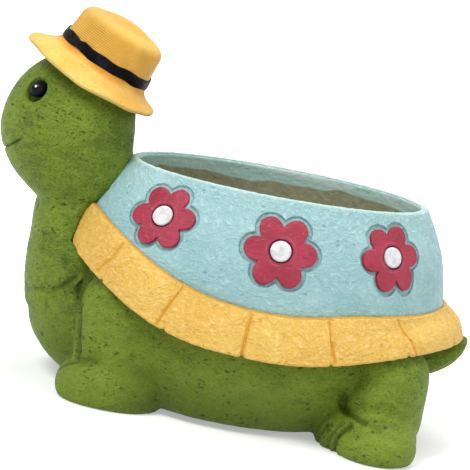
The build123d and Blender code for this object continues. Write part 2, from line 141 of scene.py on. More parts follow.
# Section of the brim, from its hollow underside round its edge and in to the crown's foot: radius, height
BRIM = (
    (0.0238, -0.0046),
    (0.0282, -0.0052),
    (0.0326, -0.0068),
    (0.0368, -0.0090),
    (0.0390, -0.0100),
    (0.0400, -0.0099),
    (0.0408, -0.0093),
    (0.0409, -0.0085),
    (0.0404, -0.0077),
    (0.0393, -0.0070),
    (0.0380, -0.0062),
    (0.0362, -0.0053),
    (0.0345, -0.0044),
    (0.0328, -0.0034),
    (0.0312, -0.0024),
    (0.0300, -0.0014),
    (0.0290, -0.0004),
    (0.0283, 0.0006),
    (0.0278, 0.0014),
    (0.0274, 0.0021),
)
BRIM_TOP = 0.0023

# The camera: its place, what it looks at, its roll, and its focal length and picture side in pixels
CAMERA_PLACE = (0.0, -1.3, 0.325)
CAMERA_AIM = (0.0, 0.0, 0.096)
CAMERA_ROLL = math.radians(10.5)
FOCAL_PIXELS = 2321.0
SIDE_PIXELS = 470.0
SENSOR_WIDTH = 36.0
LAMP_AIM = (0.0, 0.0, 0.08)

# Rolls of clay that swell the hind feet, and mirrored: middle, radii, turn about the upright axis
ROLLS = (
    ((0.0965, -0.066, 0.007), (0.0225, 0.0225, 0.0165), 0.0),
    ((0.0855, -0.06, 0.007), (0.017, 0.0215, 0.015), 0.15),
    ((0.079, -0.053, 0.006), (0.0155, 0.0195, 0.014), 0.3),
)


# Handling of objects


def only(*objs):
    """Leaves object mode with just these selected, the first one active."""
    if bpy.context.object and bpy.context.object.mode != "OBJECT":
        bpy.ops.object.mode_set(mode="OBJECT")
    bpy.ops.object.select_all(action="DESELECT")
    for obj in objs:
        obj.select_set(True)
    bpy.context.view_layer.objects.active = objs[0]


def cast_from(name, *nodes):
    """A new mesh with the forms of some measured pieces, its loose triangles merged."""
    copies = []
    for node in nodes:
        copy = bpy.data.objects.new(name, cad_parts[node].data.copy())
        bpy.context.scene.collection.objects.link(copy)
        copies.append(copy)
    only(*copies)
    if len(copies) > 1:
        bpy.ops.object.join()
    obj = bpy.context.object
    obj.name = name
    bpy.ops.object.mode_set(mode="EDIT")
    bpy.ops.mesh.select_all(action="SELECT")
    bpy.ops.mesh.remove_doubles(threshold=0.00001)
    bpy.ops.mesh.customdata_custom_splitnormals_clear()
    bpy.ops.object.mode_set(mode="OBJECT")
    obj.data.materials.clear()
    return obj


def modify(obj, kind, **settings):
    """Adds a modifier with these settings and applies it."""
    only(obj)
    bpy.ops.object.modifier_add(type=kind)
    modifier = obj.modifiers[-1]
    for key, value in settings.items():
        setattr(modifier, key, value)
    bpy.ops.object.modifier_apply(modifier=modifier.name)


def clay(obj, grain, rounds):
    """Turns hard forms into one even skin of small faces and softens it, as a thumb does clay."""
    modify(obj, "REMESH", mode="VOXEL", voxel_size=grain)
    if rounds:
        modify(obj, "SMOOTH", factor=0.5, iterations=rounds)
    only(obj)
    bpy.ops.object.shade_smooth()


def thin(obj, faces):
    """Thins a fine mesh to about this many triangles, keeping them where the form turns."""
    modify(obj, "DECIMATE", ratio=min(1.0, faces / (2 * len(obj.data.polygons))))
    only(obj)
    bpy.ops.object.shade_smooth()


def polish(obj, rounds, zone):
    """Rubs one zone of a casting smooth."""
    group = obj.vertex_groups.new(name="polish")
    group.add([vertex.index for vertex in obj.data.vertices if zone(vertex.co)], 1.0, "ADD")
    modify(obj, "SMOOTH", factor=0.5, iterations=rounds, vertex_group=group.name)
    obj.vertex_groups.clear()


def refine(obj, cuts, zone):
    """Splits the faces of one zone for finer carving."""
    only(obj)
    for face in obj.data.polygons:
        face.select = zone(face.center)
    bpy.ops.object.mode_set(mode="EDIT")
    bpy.ops.mesh.select_mode(type="FACE")
    bpy.ops.mesh.subdivide(number_cuts=cuts)
    bpy.ops.object.mode_set(mode="OBJECT")


def carve(obj, depth_at):
    """Presses the surface in along its normals by the depth that a rule gives for each place."""
    places = [vertex.co - vertex.normal * depth_at(vertex.co) for vertex in obj.data.vertices]
    for vertex, place in zip(obj.data.vertices, places):
        vertex.co = place


def press_map(obj, lines):
    """Lays lines and their mirror images on a surface: a rule that gives depth and darkening at any place,
    dark wash and, in the casting's creases, painted shade.
    """
    tops, floors, forms = [], [], []
    for spread, depth, darkening, path in lines:
        for start, end in zip(path, path[1:]):
            start, end = Vector(start), Vector(end)
            steps = max(2, int((end - start).length / 0.0003))
            for step in range(steps + 1):
                spot = start.lerp(end, step / steps)
                for side in (1.0, -1.0):
                    point, normal = obj.closest_point_on_mesh((spot.x, spot.y * side, spot.z))[1:3]
                    tops.append(point)
                    floors.append(point - normal * depth)
                    forms.append((spread, depth, darkening))
    top, floor = KDTree(len(tops)), KDTree(len(tops))
    for tree, points in ((top, tops), (floor, floors)):
        for number, point in enumerate(points):
            tree.insert(point, number)
        tree.balance()

    def deep(place):
        number, reach = top.find(place)[1:]
        spread, depth = forms[number][:2]
        return depth * bell(reach, 0.0, spread) if reach < 0.012 else 0.0

    def darkened(place):
        number, reach = floor.find(place)[1:]
        spread, _, darkening = forms[number]
        return darkening * bell(reach, 0.0, spread * 1.2) if reach < 0.012 else 0.0

    return top, deep, darkened


def fill(obj, coats, zone):
    """Fills the hollows of one zone level with what lies round them, coat by coat."""
    for _ in range(coats):
        soft = obj.copy()
        soft.data = obj.data.copy()
        bpy.context.scene.collection.objects.link(soft)
        polish(soft, 12, zone)
        pairs = zip(obj.data.vertices, soft.data.vertices)
        places = [a.co + a.normal * max(0.0, (b.co - a.co).dot(a.normal)) for a, b in pairs]
        for vertex, place in zip(obj.data.vertices, places):
            vertex.co = place
        bpy.data.objects.remove(soft)
    polish(obj, 3, zone)


def foot_normal(place):
    """Which way the shell's oval foot faces next to a place."""
    return Vector(((place.x - FOOT_MIDDLE) / FOOT_LENGTH**2, place.y / FOOT_WIDTH**2, 0.0)).normalized()


def settle(obj, from_joint, none, flatten=0.0):
    """Lowers the joint of shell and rim above the tail, fading out at a height above or below it."""
    for vertex in obj.data.vertices:
        place = vertex.co
        if place.x > DROP_NONE:
            joint = JOINT_HEIGHT + JOINT_SLOPE * (place.x - JOINT_X)
            share = fade(place.x, DROP_FULL, DROP_NONE)
            height = min(1.0, max(0.0, (place.z - joint) / RIM_HEIGHT + 1.0))
            bulge = flatten * share * math.sin(math.pi * height**1.4)
            place.z -= JOINT_DROP * share * fade(place.z - joint, from_joint, none)
            vertex.co -= foot_normal(place) * bulge


def notch(obj, centre, out, trim, shift):
    """Cuts deeper between a flower's petals and makes the petals unlike each other."""
    across = Vector((0.0, 0.0, 1.0)).cross(out).normalized()
    up = out.cross(across)
    polar, rims = [], {}
    for vertex in obj.data.vertices:
        away = vertex.co - centre
        x, y = away.dot(across), away.dot(up)
        turn, reach = math.atan2(y, x), math.hypot(x, y)
        polar.append((turn, reach))
        sector = int(math.degrees(turn) // 4) % 90
        rims[sector] = max(rims.get(sector, 0.0), reach)
    widest, least = max(rims.values()), min(rims.values())
    for vertex, (turn, reach) in zip(obj.data.vertices, polar):
        at = math.degrees(turn) / 4 - 0.5
        low = rims[int(at // 1) % 90]
        rim = low + (rims[(int(at // 1) + 1) % 90] - low) * (at % 1)
        gap = max(0.0, (widest - rim) / (widest - least)) ** 1.3
        uneven = 0.018 * (1 + math.sin(2 * turn + shift)) + 0.012 * (1 + math.sin(3 * turn + 2 * shift))
        pull = (reach / widest) ** 2 * (trim * gap + uneven)
        away = vertex.co - centre
        flat = across * away.dot(across) + up * away.dot(up)
        vertex.co -= flat * pull


def add_rolls(obj):
    """Joins the hind feet's rolls of clay to a casting before it is made one skin."""
    rolls = []
    for middle, radii, turn in ROLLS:
        for side in (1.0, -1.0):
            only(obj)
            bpy.ops.mesh.primitive_uv_sphere_add(segments=48, ring_count=32, radius=1.0)
            roll = bpy.context.object
            place = Matrix.Translation((middle[0], middle[1] * side, middle[2]))
            roll.data.transform(place @ Matrix.Rotation(turn * side, 4, "Z") @ Matrix.Diagonal((*radii, 1.0)))
            for vertex in roll.data.vertices:
                vertex.co.z = max(vertex.co.z, 0.0)
            rolls.append(roll)
    only(obj, *rolls)
    bpy.ops.object.join()


def trim_to(obj, low, high):
    """Rubs off whatever stands out of a box."""
    for vertex in obj.data.vertices:
        place = vertex.co
        place.xyz = [min(max(place[axis], low[axis]), high[axis]) for axis in range(3)]


def swell(obj, name, size, depth):
    """Makes a surface slightly uneven, with lumps of this size and height."""
    texture = bpy.data.textures.new(name, "CLOUDS")
    texture.noise_scale = size
    texture.noise_depth = 2
    modify(obj, "DISPLACE", texture=texture, texture_coords="LOCAL", strength=depth, mid_level=0.5)


def lathe(name, section, steps):
    """Draws out a circle ring by ring along a turned section of (radius, height) and smooths it."""
    only(next(iter(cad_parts.values())))
    radius, height = section[0]
    foot = (0.0, 0.0, height)
    bpy.ops.mesh.primitive_circle_add(vertices=steps, radius=radius, fill_type="NGON", location=foot)
    obj = bpy.context.object
    obj.name = name
    bpy.ops.object.transform_apply(location=True, rotation=False, scale=False)
    bpy.ops.object.mode_set(mode="EDIT")
    bpy.ops.mesh.select_all(action="SELECT")
    for last, step in zip(section, section[1:]):
        bpy.ops.mesh.extrude_region_move(TRANSFORM_OT_translate={"value": (0.0, 0.0, step[1] - last[1])})
        grow = step[0] / last[0]
        bpy.ops.transform.resize(value=(grow, grow, 1.0), center_override=(0.0, 0.0, step[1]))
    bpy.ops.mesh.select_all(action="SELECT")
    bpy.ops.mesh.normals_make_consistent(inside=False)
    bpy.ops.object.mode_set(mode="OBJECT")
    bpy.ops.object.shade_smooth()
    return obj


def set_on_head(obj, hat):
    """Tips a piece turned about the upright axis back and sets it on the head."""
    place = Matrix.Translation(hat.place) @ Matrix.Rotation(hat.tilt, 4, "Y")
    obj.data.transform(place)


def scute_grooves():
    """Middle and outward direction of each groove of the rim, on both flanks."""
    for share in SCUTE_TURNS:
        turn = math.pi * share
        for side in (-1.0, 1.0):
            along, across = math.cos(turn), side * math.sin(turn)
            middle = Vector((FOOT_MIDDLE + FOOT_LENGTH * along, FOOT_WIDTH * across))
            yield middle, Vector((along / FOOT_LENGTH, across / FOOT_WIDTH)).normalized()


def eye_frame(side):
    """The eye's spot on the head and its turn: Z looks out of the head and Y points up along it."""
    sign = -1.0 if side == "left" else 1.0
    out = Vector((-0.552, 0.734 * sign, 0.395)).normalized()
    low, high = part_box(f"{side}_eye")
    ball = (high.x - low.x) / 2
    spot = (low + high) / 2 + out * (ball - 0.0022)
    upwards = Vector((0.0, 0.0, 1.0))
    upwards = (upwards - out * upwards.dot(out)).normalized()
    spot += upwards * 0.0017
    across = upwards.cross(out)
    turn = Matrix((across, upwards, out)).transposed().to_4x4()
    return spot, turn


def dress(obj, slot, material, *nodes):
    """Gives a finished piece its paint and lets it stand for its measured pieces."""
    obj.data.materials.clear()
    obj.data.materials.append(material)
    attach(obj, "root")
    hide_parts(*nodes)


def bell(value, middle, spread):
    """1 at the middle, falling off softly on both sides."""
    return math.exp(-(((value - middle) / spread) ** 2))


def fade(value, full, none):
    """1 where value has reached full, 0 where it has reached none, and soft between them."""
    share = min(1.0, max(0.0, (value - none) / (full - none)))
    return share * share * (3.0 - 2.0 * share)


def search_tree(*nodes):
    """A search tree over some measured pieces, with the number of the piece that owns each of its faces."""
    places, faces, owners = [], [], []
    for number, node in enumerate(nodes):
        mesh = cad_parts[node].data
        first = len(places)
        places += [vertex.co.copy() for vertex in mesh.vertices]
        faces += [[first + corner for corner in face.vertices] for face in mesh.polygons]
        owners += [number] * len(mesh.polygons)
    return BVHTree.FromPolygons(places, faces), owners


def gap_to(tree, place, reach):
    """Distance from a place to the pieces of a search tree, or reach where they are further off."""
    gap = tree.find_nearest(place, reach)[3]
    return reach if gap is None else gap


def neighbours_of(mesh):
    """For each face the faces that share an edge with it."""
    by_edge = {}
    for face in mesh.polygons:
        for key in face.edge_keys:
            by_edge.setdefault(key, []).append(face.index)
    near = [[] for _ in mesh.polygons]
    for pair in by_edge.values():
        if len(pair) == 2:
            near[pair[0]].append(pair[1])
            near[pair[1]].append(pair[0])
    return near


def owners_of(mesh, nodes):
    """The measured piece that each face belongs to, with one unbroken patch for each piece."""
    tree, owners = search_tree(*nodes)
    labels = [owners[tree.find_nearest(face.center)[2]] for face in mesh.polygons]
    near = neighbours_of(mesh)
    for _ in range(6):
        settled = labels[:]
        for face, around in enumerate(near):
            votes = [labels[other] for other in around]
            winner = max(set(votes), key=votes.count) if votes else labels[face]
            if votes.count(winner) * 2 > len(votes):
                settled[face] = winner
        labels = settled
    patches = {}
    seen = [False] * len(labels)
    for start in range(len(labels)):
        if seen[start]:
            continue
        seen[start] = True
        patch, queue = [], [start]
        while queue:
            face = queue.pop()
            patch.append(face)
            for other in near[face]:
                if not seen[other] and labels[other] == labels[start]:
                    seen[other] = True
                    queue.append(other)
        patches.setdefault(labels[start], []).append(patch)
    for label, found in patches.items():
        found.sort(key=len)
        for patch in found[:-1]:
            border = [labels[other] for face in patch for other in near[face] if labels[other] != label]
            for face in patch:
                labels[face] = max(set(border), key=border.count) if border else label
    return labels


def close_part(obj, tree, rings):
    """Closes the holes that parting left, inside the casting, and keeps the casting's unbroken shading.

    The new faces fan out from the middle of each hole. Rings cut across the fan let it follow the pieces of
    the search tree instead of running straight through a curved wall.
    """
    mesh = obj.data
    soft = [Vector(item.vector) for item in mesh.attributes["soft"].data]
    first_face, first_vertex = len(mesh.polygons), len(mesh.vertices)
    only(obj)
    bpy.ops.object.mode_set(mode="EDIT")
    bpy.ops.mesh.select_all(action="SELECT")
    bpy.ops.mesh.fill_holes(sides=0)
    bpy.ops.object.mode_set(mode="OBJECT")
    for face in mesh.polygons:
        face.select = face.index >= first_face
    bpy.ops.object.mode_set(mode="EDIT")
    bpy.ops.mesh.select_mode(type="FACE")
    bpy.ops.mesh.poke()
    if rings:
        bpy.ops.mesh.select_mode(type="EDGE")
        bpy.ops.mesh.select_all(action="DESELECT")
        bpy.ops.object.mode_set(mode="OBJECT")
        for edge in mesh.edges:
            edge.select = max(edge.vertices) >= first_vertex
        bpy.ops.object.mode_set(mode="EDIT")
        bpy.ops.mesh.subdivide(number_cuts=rings)
        bpy.ops.mesh.select_mode(type="FACE")
    bpy.ops.object.mode_set(mode="OBJECT")
    for vertex in mesh.vertices[first_vertex:]:
        vertex.co = tree.find_nearest(vertex.co)[0]
    mesh.update()
    normals = [*soft, *(vertex.normal.copy() for vertex in mesh.vertices[first_vertex:])]
    mesh.normals_split_custom_set_from_vertices(normals)
    mesh.attributes.remove(mesh.attributes["soft"])


def part_casting(obj, nodes, carriers):
    """Parts one casting along the lines where its measured pieces meet, into closed pieces."""
    mesh = obj.data
    layer = mesh.attributes.new("soft", "FLOAT_VECTOR", "POINT")
    layer.data.foreach_set("vector", [number for vertex in mesh.vertices for number in vertex.normal])
    mesh.polygons.foreach_set("material_index", owners_of(mesh, nodes))
    for node in nodes:
        mesh.materials.append(bpy.data.materials.new(node))
    only(obj)
    bpy.ops.object.mode_set(mode="EDIT")
    bpy.ops.mesh.select_all(action="SELECT")
    bpy.ops.mesh.separate(type="MATERIAL")
    bpy.ops.object.mode_set(mode="OBJECT")
    tree = search_tree(*(node for node in nodes if node not in carriers))[0]
    parts = {}
    for part in list(bpy.context.selected_objects):
        node = part.data.materials[part.data.polygons[0].material_index].name
        part.name = f"cast_{node}"
        parts[node] = part
    for node, part in parts.items():
        close_part(part, tree, 2 if node in carriers else 0)
    for node in nodes:
        bpy.data.materials.remove(bpy.data.materials[node])
    return parts


# Shader building


class Nodes:
    """Adds nodes to one tree and joins them up."""

    def __init__(self, tree):
        self.tree = tree

    def add(self, kind, inputs=None, **settings):
        """A node with these settings, its inputs given as values or joined to sockets."""
        node = self.tree.nodes.new(kind)
        for key, value in settings.items():
            setattr(node, key, value)
        for key, value in (inputs or {}).items():
            self.feed(node.inputs[key], value)
        return node

    def feed(self, socket, value):
        """Joins a socket to an input, or sets the input to a plain value."""
        if isinstance(value, bpy.types.NodeSocket):
            self.tree.links.new(value, socket)
        else:
            socket.default_value = value

    def math(self, operation, a, b=0.0, c=0.0):
        """One step of arithmetic on numbers or sockets."""
        return self.add("ShaderNodeMath", {0: a, 1: b, 2: c}, operation=operation).outputs[0]

    def vector(self, operation, inputs):
        """One step of arithmetic on places."""
        return self.add("ShaderNodeVectorMath", inputs, operation=operation).outputs[0]

    def ramp(self, value, low, high, out_low=0.0, out_high=1.0):
        """A soft step of value from low to high."""
        names = {"Value": value, "From Min": low, "From Max": high, "To Min": out_low, "To Max": out_high}
        return self.add("ShaderNodeMapRange", names, interpolation_type="SMOOTHSTEP").outputs[0]

    def mix(self, share, a, b):
        """Colour a turning into colour b as share grows to 1."""
        node = self.add("ShaderNodeMix", data_type="RGBA")
        self.feed(node.inputs[0], share)
        self.feed(node.inputs[6], a)
        self.feed(node.inputs[7], b)
        return node.outputs[2]

    def over(self, colour, share, coat, strength=1.0):
        """Lays a coat of one colour over another, as thick as share and strength say."""
        if strength < 1.0:
            share = self.math("MULTIPLY", share, strength)
        return self.mix(share, colour, (*coat, 1))

    def noise(self, place, scale, detail=3.0, roughness=0.5):
        """Soft random clouds, about this many to the metre."""
        names = {"Vector": place, "Scale": scale, "Detail": detail, "Roughness": roughness}
        return self.add("ShaderNodeTexNoise", names).outputs["Fac"]

    def height(self, place):
        """How high a place lies."""
        return self.add("ShaderNodeSeparateXYZ", {"Vector": place}).outputs[2]

    def scaled(self, place, scale):
        """A place with its axes stretched, to draw a pattern out along one of them."""
        return self.add("ShaderNodeMapping", {"Vector": place, "Scale": scale}).outputs[0]


def shared_group(name, inputs, outputs):
    """A node group with named float or vector inputs and outputs; gives its Nodes, inputs and output node."""
    tree = bpy.data.node_groups.new(name, "ShaderNodeTree")
    for label, kind, default in inputs:
        socket = tree.interface.new_socket(label, in_out="INPUT", socket_type=kind)
        if default is not None:
            socket.default_value = default
    for label, kind in outputs:
        tree.interface.new_socket(label, in_out="OUTPUT", socket_type=kind)
    nodes = Nodes(tree)
    return nodes, nodes.add("NodeGroupInput").outputs, nodes.add("NodeGroupOutput")


def pits_group():
    """Small irregular pits of cast stone: some cells of a stretched pattern hold one each."""
    nodes, given, out = shared_group(
        "cast pits",
        [
            ("Place", "NodeSocketVector", None),
            ("Spacing", "NodeSocketFloat", 300.0),
            ("Share", "NodeSocketFloat", 0.3),
            ("Size", "NodeSocketFloat", 0.3),
        ],
        [("Pit", "NodeSocketFloat")],
    )
    cloud = nodes.add("ShaderNodeTexNoise", {"Vector": given["Place"], "Scale": 420.0, "Detail": 2.0})
    bend = nodes.vector("SUBTRACT", {0: cloud.outputs["Color"], 1: (0.5, 0.5, 0.5)})
    bend = nodes.vector("SCALE", {0: bend, "Scale": 0.0035})
    place = nodes.scaled(nodes.vector("ADD", {0: given["Place"], 1: bend}), (0.72, 0.72, 1.35))
    cells = nodes.add("ShaderNodeTexVoronoi", {"Vector": place, "Scale": given["Spacing"]})
    chance = nodes.add("ShaderNodeSeparateColor", {"Color": cells.outputs["Color"]})
    holds = nodes.math("LESS_THAN", chance.outputs[0], given["Share"])
    least = nodes.math("MULTIPLY", given["Size"], 0.45)
    size = nodes.math("MULTIPLY_ADD", chance.outputs[1], given["Size"], least)
    depth = nodes.ramp(cells.outputs["Distance"], size, nodes.math("MULTIPLY", size, 0.55))
    nodes.feed(out.inputs["Pit"], nodes.math("MULTIPLY", depth, holds))
    return nodes.tree


def mottle_group():
    """Cloudy unevenness of hand-rubbed paint, broad and fine."""
    nodes, given, out = shared_group(
        "rubbed paint",
        [
            ("Place", "NodeSocketVector", None),
            ("Cloud", "NodeSocketFloat", 45.0),
            ("Grain", "NodeSocketFloat", 260.0),
        ],
        [("Broad", "NodeSocketFloat"), ("Fine", "NodeSocketFloat")],
    )
    broad = nodes.noise(given["Place"], given["Cloud"], 3.0, 0.55)
    fine = nodes.noise(given["Place"], given["Grain"], 4.0, 0.6)
    nodes.feed(out.inputs["Broad"], nodes.ramp(broad, 0.32, 0.68))
    nodes.feed(out.inputs["Fine"], nodes.ramp(fine, 0.3, 0.7))
    return nodes.tree


def strokes_group():
    """Low ridges that a stiff brush leaves as it goes round the shell."""
    nodes, given, out = shared_group(
        "brush strokes",
        [
            ("Place", "NodeSocketVector", None),
            ("Length", "NodeSocketFloat", 150.0),
            ("Width", "NodeSocketFloat", 520.0),
        ],
        [("Height", "NodeSocketFloat"), ("Ridge", "NodeSocketFloat")],
    )
    part = nodes.add("ShaderNodeSeparateXYZ", {"Vector": given["Place"]})
    turn = nodes.math("ARCTAN2", nodes.math("MULTIPLY", part.outputs[1], 1.4), part.outputs[0])
    round_it = nodes.math("MULTIPLY", turn, 0.1)
    sway = nodes.noise(given["Place"], 60.0, 2.0)
    high = nodes.math("MULTIPLY_ADD", sway, 0.02, part.outputs[2])
    along = nodes.math("MULTIPLY", round_it, given["Length"])
    across = nodes.math("MULTIPLY", high, given["Width"])
    aside = nodes.math("MULTIPLY", part.outputs[1], 20.0)
    place = nodes.add("ShaderNodeCombineXYZ", {0: along, 1: across, 2: aside}).outputs[0]
    height = nodes.noise(place, 1.0, 3.0, 0.6)
    nodes.feed(out.inputs["Height"], height)
    nodes.feed(out.inputs["Ridge"], nodes.ramp(height, 0.52, 0.72))
    return nodes.tree


def paint(name, roughness, specular=0.35):
    """An empty painted material: its Nodes, its surface shader and the object's coordinates."""
    material = bpy.data.materials.new(name)
    material.use_nodes = True
    nodes = Nodes(material.node_tree)
    shader = material.node_tree.nodes["Principled BSDF"]
    shader.inputs["Roughness"].default_value = roughness
    shader.inputs["Specular IOR Level"].default_value = specular
    place = nodes.add("ShaderNodeTexCoord").outputs["Object"]
    return material, nodes, shader, place


def use(nodes, group, **given):
    """The outputs of a shared effect with these inputs."""
    node = nodes.add("ShaderNodeGroup", node_tree=bpy.data.node_groups[group])
    for key, value in given.items():
        nodes.feed(node.inputs[key], value)
    return node.outputs


def bump(nodes, shader, height, distance, strength=1.0):
    """Lets a pattern of heights, this far from low to high, catch the light."""
    names = {"Height": height, "Distance": distance, "Strength": strength}
    nodes.feed(shader.inputs["Normal"], nodes.add("ShaderNodeBump", names).outputs[0])


def vertex_paint(obj, name, rule):
    """Stores a number on every vertex, worked out from its place and its normal, for the paint to read."""
    mesh = obj.data
    values = [rule(vertex.co, vertex.normal) for vertex in mesh.vertices]
    layer = mesh.attributes.new(name, "FLOAT", "POINT")
    layer.data.foreach_set("value", values)


def hollows(obj, reach):
    """Stores how far each point lies sunk below its surroundings, where the paint darkens: dark wash and
    painted shade.
    """
    soft = obj.copy()
    soft.data = obj.data.copy()
    bpy.context.scene.collection.objects.link(soft)
    modify(soft, "SMOOTH", factor=0.8, iterations=reach)
    values = [(b.co - a.co).dot(a.normal) for a, b in zip(obj.data.vertices, soft.data.vertices)]
    bpy.data.objects.remove(soft)
    layer = obj.data.attributes.new("crease", "FLOAT", "POINT")
    layer.data.foreach_set("value", values)


def stored(nodes, name):
    """A number kept on the vertices by vertex_paint or hollows."""
    return nodes.add("ShaderNodeAttribute", attribute_name=name).outputs["Fac"]


# Paints


def green_paint(skin):
    """Olive green rubbed over cast stone: cloudy, full of small dark pits, with dark wash and painted shade
    in its creases.
    """
    material, nodes, shader, place = paint("turtle green", skin.roughness, 0.22)
    cloud = use(nodes, "rubbed paint", Place=place, Cloud=30.0, Grain=300.0)
    dab = use(nodes, "rubbed paint", Place=nodes.scaled(place, (0.7, 0.7, 1.5)), Cloud=170.0, Grain=900.0)
    fresh = nodes.ramp(nodes.noise(place, 23.0, 2.0), 0.52, 0.75)
    smudge = nodes.ramp(nodes.noise(nodes.scaled(place, (0.8, 0.8, 1.3)), 75.0, 3.0, 0.65), 0.52, 0.72)
    colour = nodes.mix(cloud["Broad"], (*skin.dark, 1), (*skin.light, 1))
    colour = nodes.over(colour, fresh, skin.fresh, 0.35)
    colour = nodes.over(colour, dab["Broad"], skin.yellow, 0.4)
    colour = nodes.over(colour, smudge, skin.deep, 0.5)
    colour = nodes.over(colour, nodes.ramp(dab["Fine"], 0.45, 0.0), skin.deep, 0.5)
    colour = nodes.over(colour, nodes.ramp(dab["Fine"], 0.6, 1.0), skin.yellow, 0.45)

    # Pits of three sizes, thicker in some places than in others
    big, small, tiny = (
        use(nodes, "cast pits", Place=place, Spacing=spacing, Share=0.5, Size=size)["Pit"]
        for spacing, size in ((185.0, 0.2), (330.0, 0.25), (560.0, 0.32))
    )
    patchy = nodes.ramp(nodes.noise(place, 42.0, 3.0, 0.6), 0.38, 0.6, 0.35, 1.0)
    pit = nodes.math("MAXIMUM", big, nodes.math("MULTIPLY", small, 0.85))
    pit = nodes.math("MULTIPLY", nodes.math("MAXIMUM", pit, nodes.math("MULTIPLY", tiny, 0.6)), patchy)

    # Painted shade, with dark wash, in the hollows of the casting
    crease = nodes.ramp(stored(nodes, "crease"), 0.00012, 0.0014)
    colour = nodes.over(colour, crease, skin.deep, 0.65)
    # Painted light: lighter, yellower green lower down, towards the feet
    colour = nodes.over(colour, nodes.ramp(nodes.height(place), 0.06, 0.01), skin.yellow, 0.35)
    # Dark wash with painted shade in the mouth, eye grooves and creases; painted shade under the belly and on
    # the chest
    colour = nodes.over(colour, stored(nodes, "wash"), skin.deep, 0.85)
    colour = nodes.over(colour, pit, skin.pit, 0.9)
    bare = nodes.mix(cloud["Fine"], (*skin.bare_dark, 1), (*skin.bare, 1))
    nodes.feed(shader.inputs["Base Color"], nodes.mix(stored(nodes, "inside"), colour, bare))
    height = nodes.math("MULTIPLY_ADD", cloud["Fine"], 0.3, nodes.math("MULTIPLY", pit, -1.0))
    height = nodes.math("MULTIPLY_ADD", dab["Fine"], 0.35, height)
    bump(nodes, shader, height, 0.0007, 0.9)
    dull = nodes.ramp(cloud["Fine"], 0.0, 1.0, skin.roughness + 0.1, skin.roughness - 0.06)
    nodes.feed(shader.inputs["Roughness"], dull)
    return material


def brushed_paint(name, coat, pit_share, pit_strength):
    """Thick paint brushed over cast stone: painted highlight on the ridges, painted shade between them, pits
    and grooves show the wash.
    """
    material, nodes, shader, place = paint(name, coat.roughness)
    cloud = use(nodes, "rubbed paint", Place=place, Cloud=30.0, Grain=300.0)
    stroke = use(nodes, "brush strokes", Place=place, Length=coat.stroke_length, Width=coat.stroke_width)
    dab = use(nodes, "rubbed paint", Place=place, Cloud=150.0, Grain=700.0)
    speck = use(nodes, "cast pits", Place=place, Spacing=330.0, Share=pit_share, Size=0.19)["Pit"]
    wash = stored(nodes, "wash")
    colour = nodes.mix(cloud["Broad"], (*coat.dark, 1), (*coat.light, 1))
    # Painted highlight on the brush ridges and fine bumps, painted shade between the ridges
    colour = nodes.over(colour, stroke["Ridge"], coat.ridge, 0.6)
    colour = nodes.over(colour, nodes.ramp(stroke["Height"], 0.44, 0.3), coat.hollow, 0.55)
    colour = nodes.over(colour, nodes.ramp(dab["Fine"], 0.7, 1.0), coat.ridge, 0.4)
    # Pale where the stored value is negative, deep where it is positive: besides the wash these hold painted
    # shade and painted highlights
    colour = nodes.over(colour, nodes.ramp(wash, -0.1, -0.9), coat.line_pale)
    colour = nodes.over(colour, nodes.ramp(wash, 0.1, 0.9), coat.deep)
    colour = nodes.over(colour, speck, coat.deep, pit_strength)
    height = nodes.math("MULTIPLY_ADD", speck, -0.5, stroke["Height"])
    height = nodes.math("MULTIPLY_ADD", dab["Fine"], 0.25, height)
    smoother_inside = nodes.math("MULTIPLY_ADD", stored(nodes, "inside"), -0.75, 1.0)
    bump(nodes, shader, nodes.math("MULTIPLY", height, smoother_inside), coat.relief)
    dull = nodes.ramp(cloud["Fine"], 0.0, 1.0, coat.roughness + 0.1, coat.roughness - 0.1)
    nodes.feed(shader.inputs["Roughness"], dull)
    return material, nodes, shader, place, colour


def shell_paint(coat, skin, top):
    """Pale blue outside, a teal lining just inside the mouth, and the bare cast below its wavy edge."""
    material, nodes, shader, place, colour = brushed_paint("shell blue", coat, 0.2, 0.45)
    cloud = use(nodes, "rubbed paint", Place=place, Cloud=30.0, Grain=240.0)
    up = nodes.height(place)
    waves = nodes.noise(nodes.scaled(place, (1.0, 1.0, 0.2)), 26.0, 2.0)
    edge = nodes.math("MULTIPLY_ADD", waves, 0.012, up)
    below = nodes.ramp(edge, top - 0.0015, top - 0.0030)
    streaks = nodes.ramp(nodes.noise(nodes.scaled(place, (0.5, 0.5, 5.0)), 60.0, 2.0), 0.5, 0.62)
    lining = nodes.mix(streaks, (*coat.lining, 1), (*coat.lining_light, 1))
    bare = nodes.mix(cloud["Fine"], (*skin.bare_dark, 1), (*skin.bare, 1))
    lining = nodes.mix(below, lining, bare)
    # Painted shade: darker lower down the shell, below the mouth
    colour = nodes.over(colour, nodes.ramp(up, 0.128, 0.098), coat.hollow, 0.3)
    nodes.feed(shader.inputs["Base Color"], nodes.mix(stored(nodes, "inside"), colour, lining))
    return material


def rim_paint(coat):
    """Warm yellow over the same brushed cast, with orange in its grooves and along its upper edge."""
    material, nodes, shader, _, colour = brushed_paint("rim yellow", coat, 0.3, 0.5)
    nodes.feed(shader.inputs["Base Color"], colour)
    return material


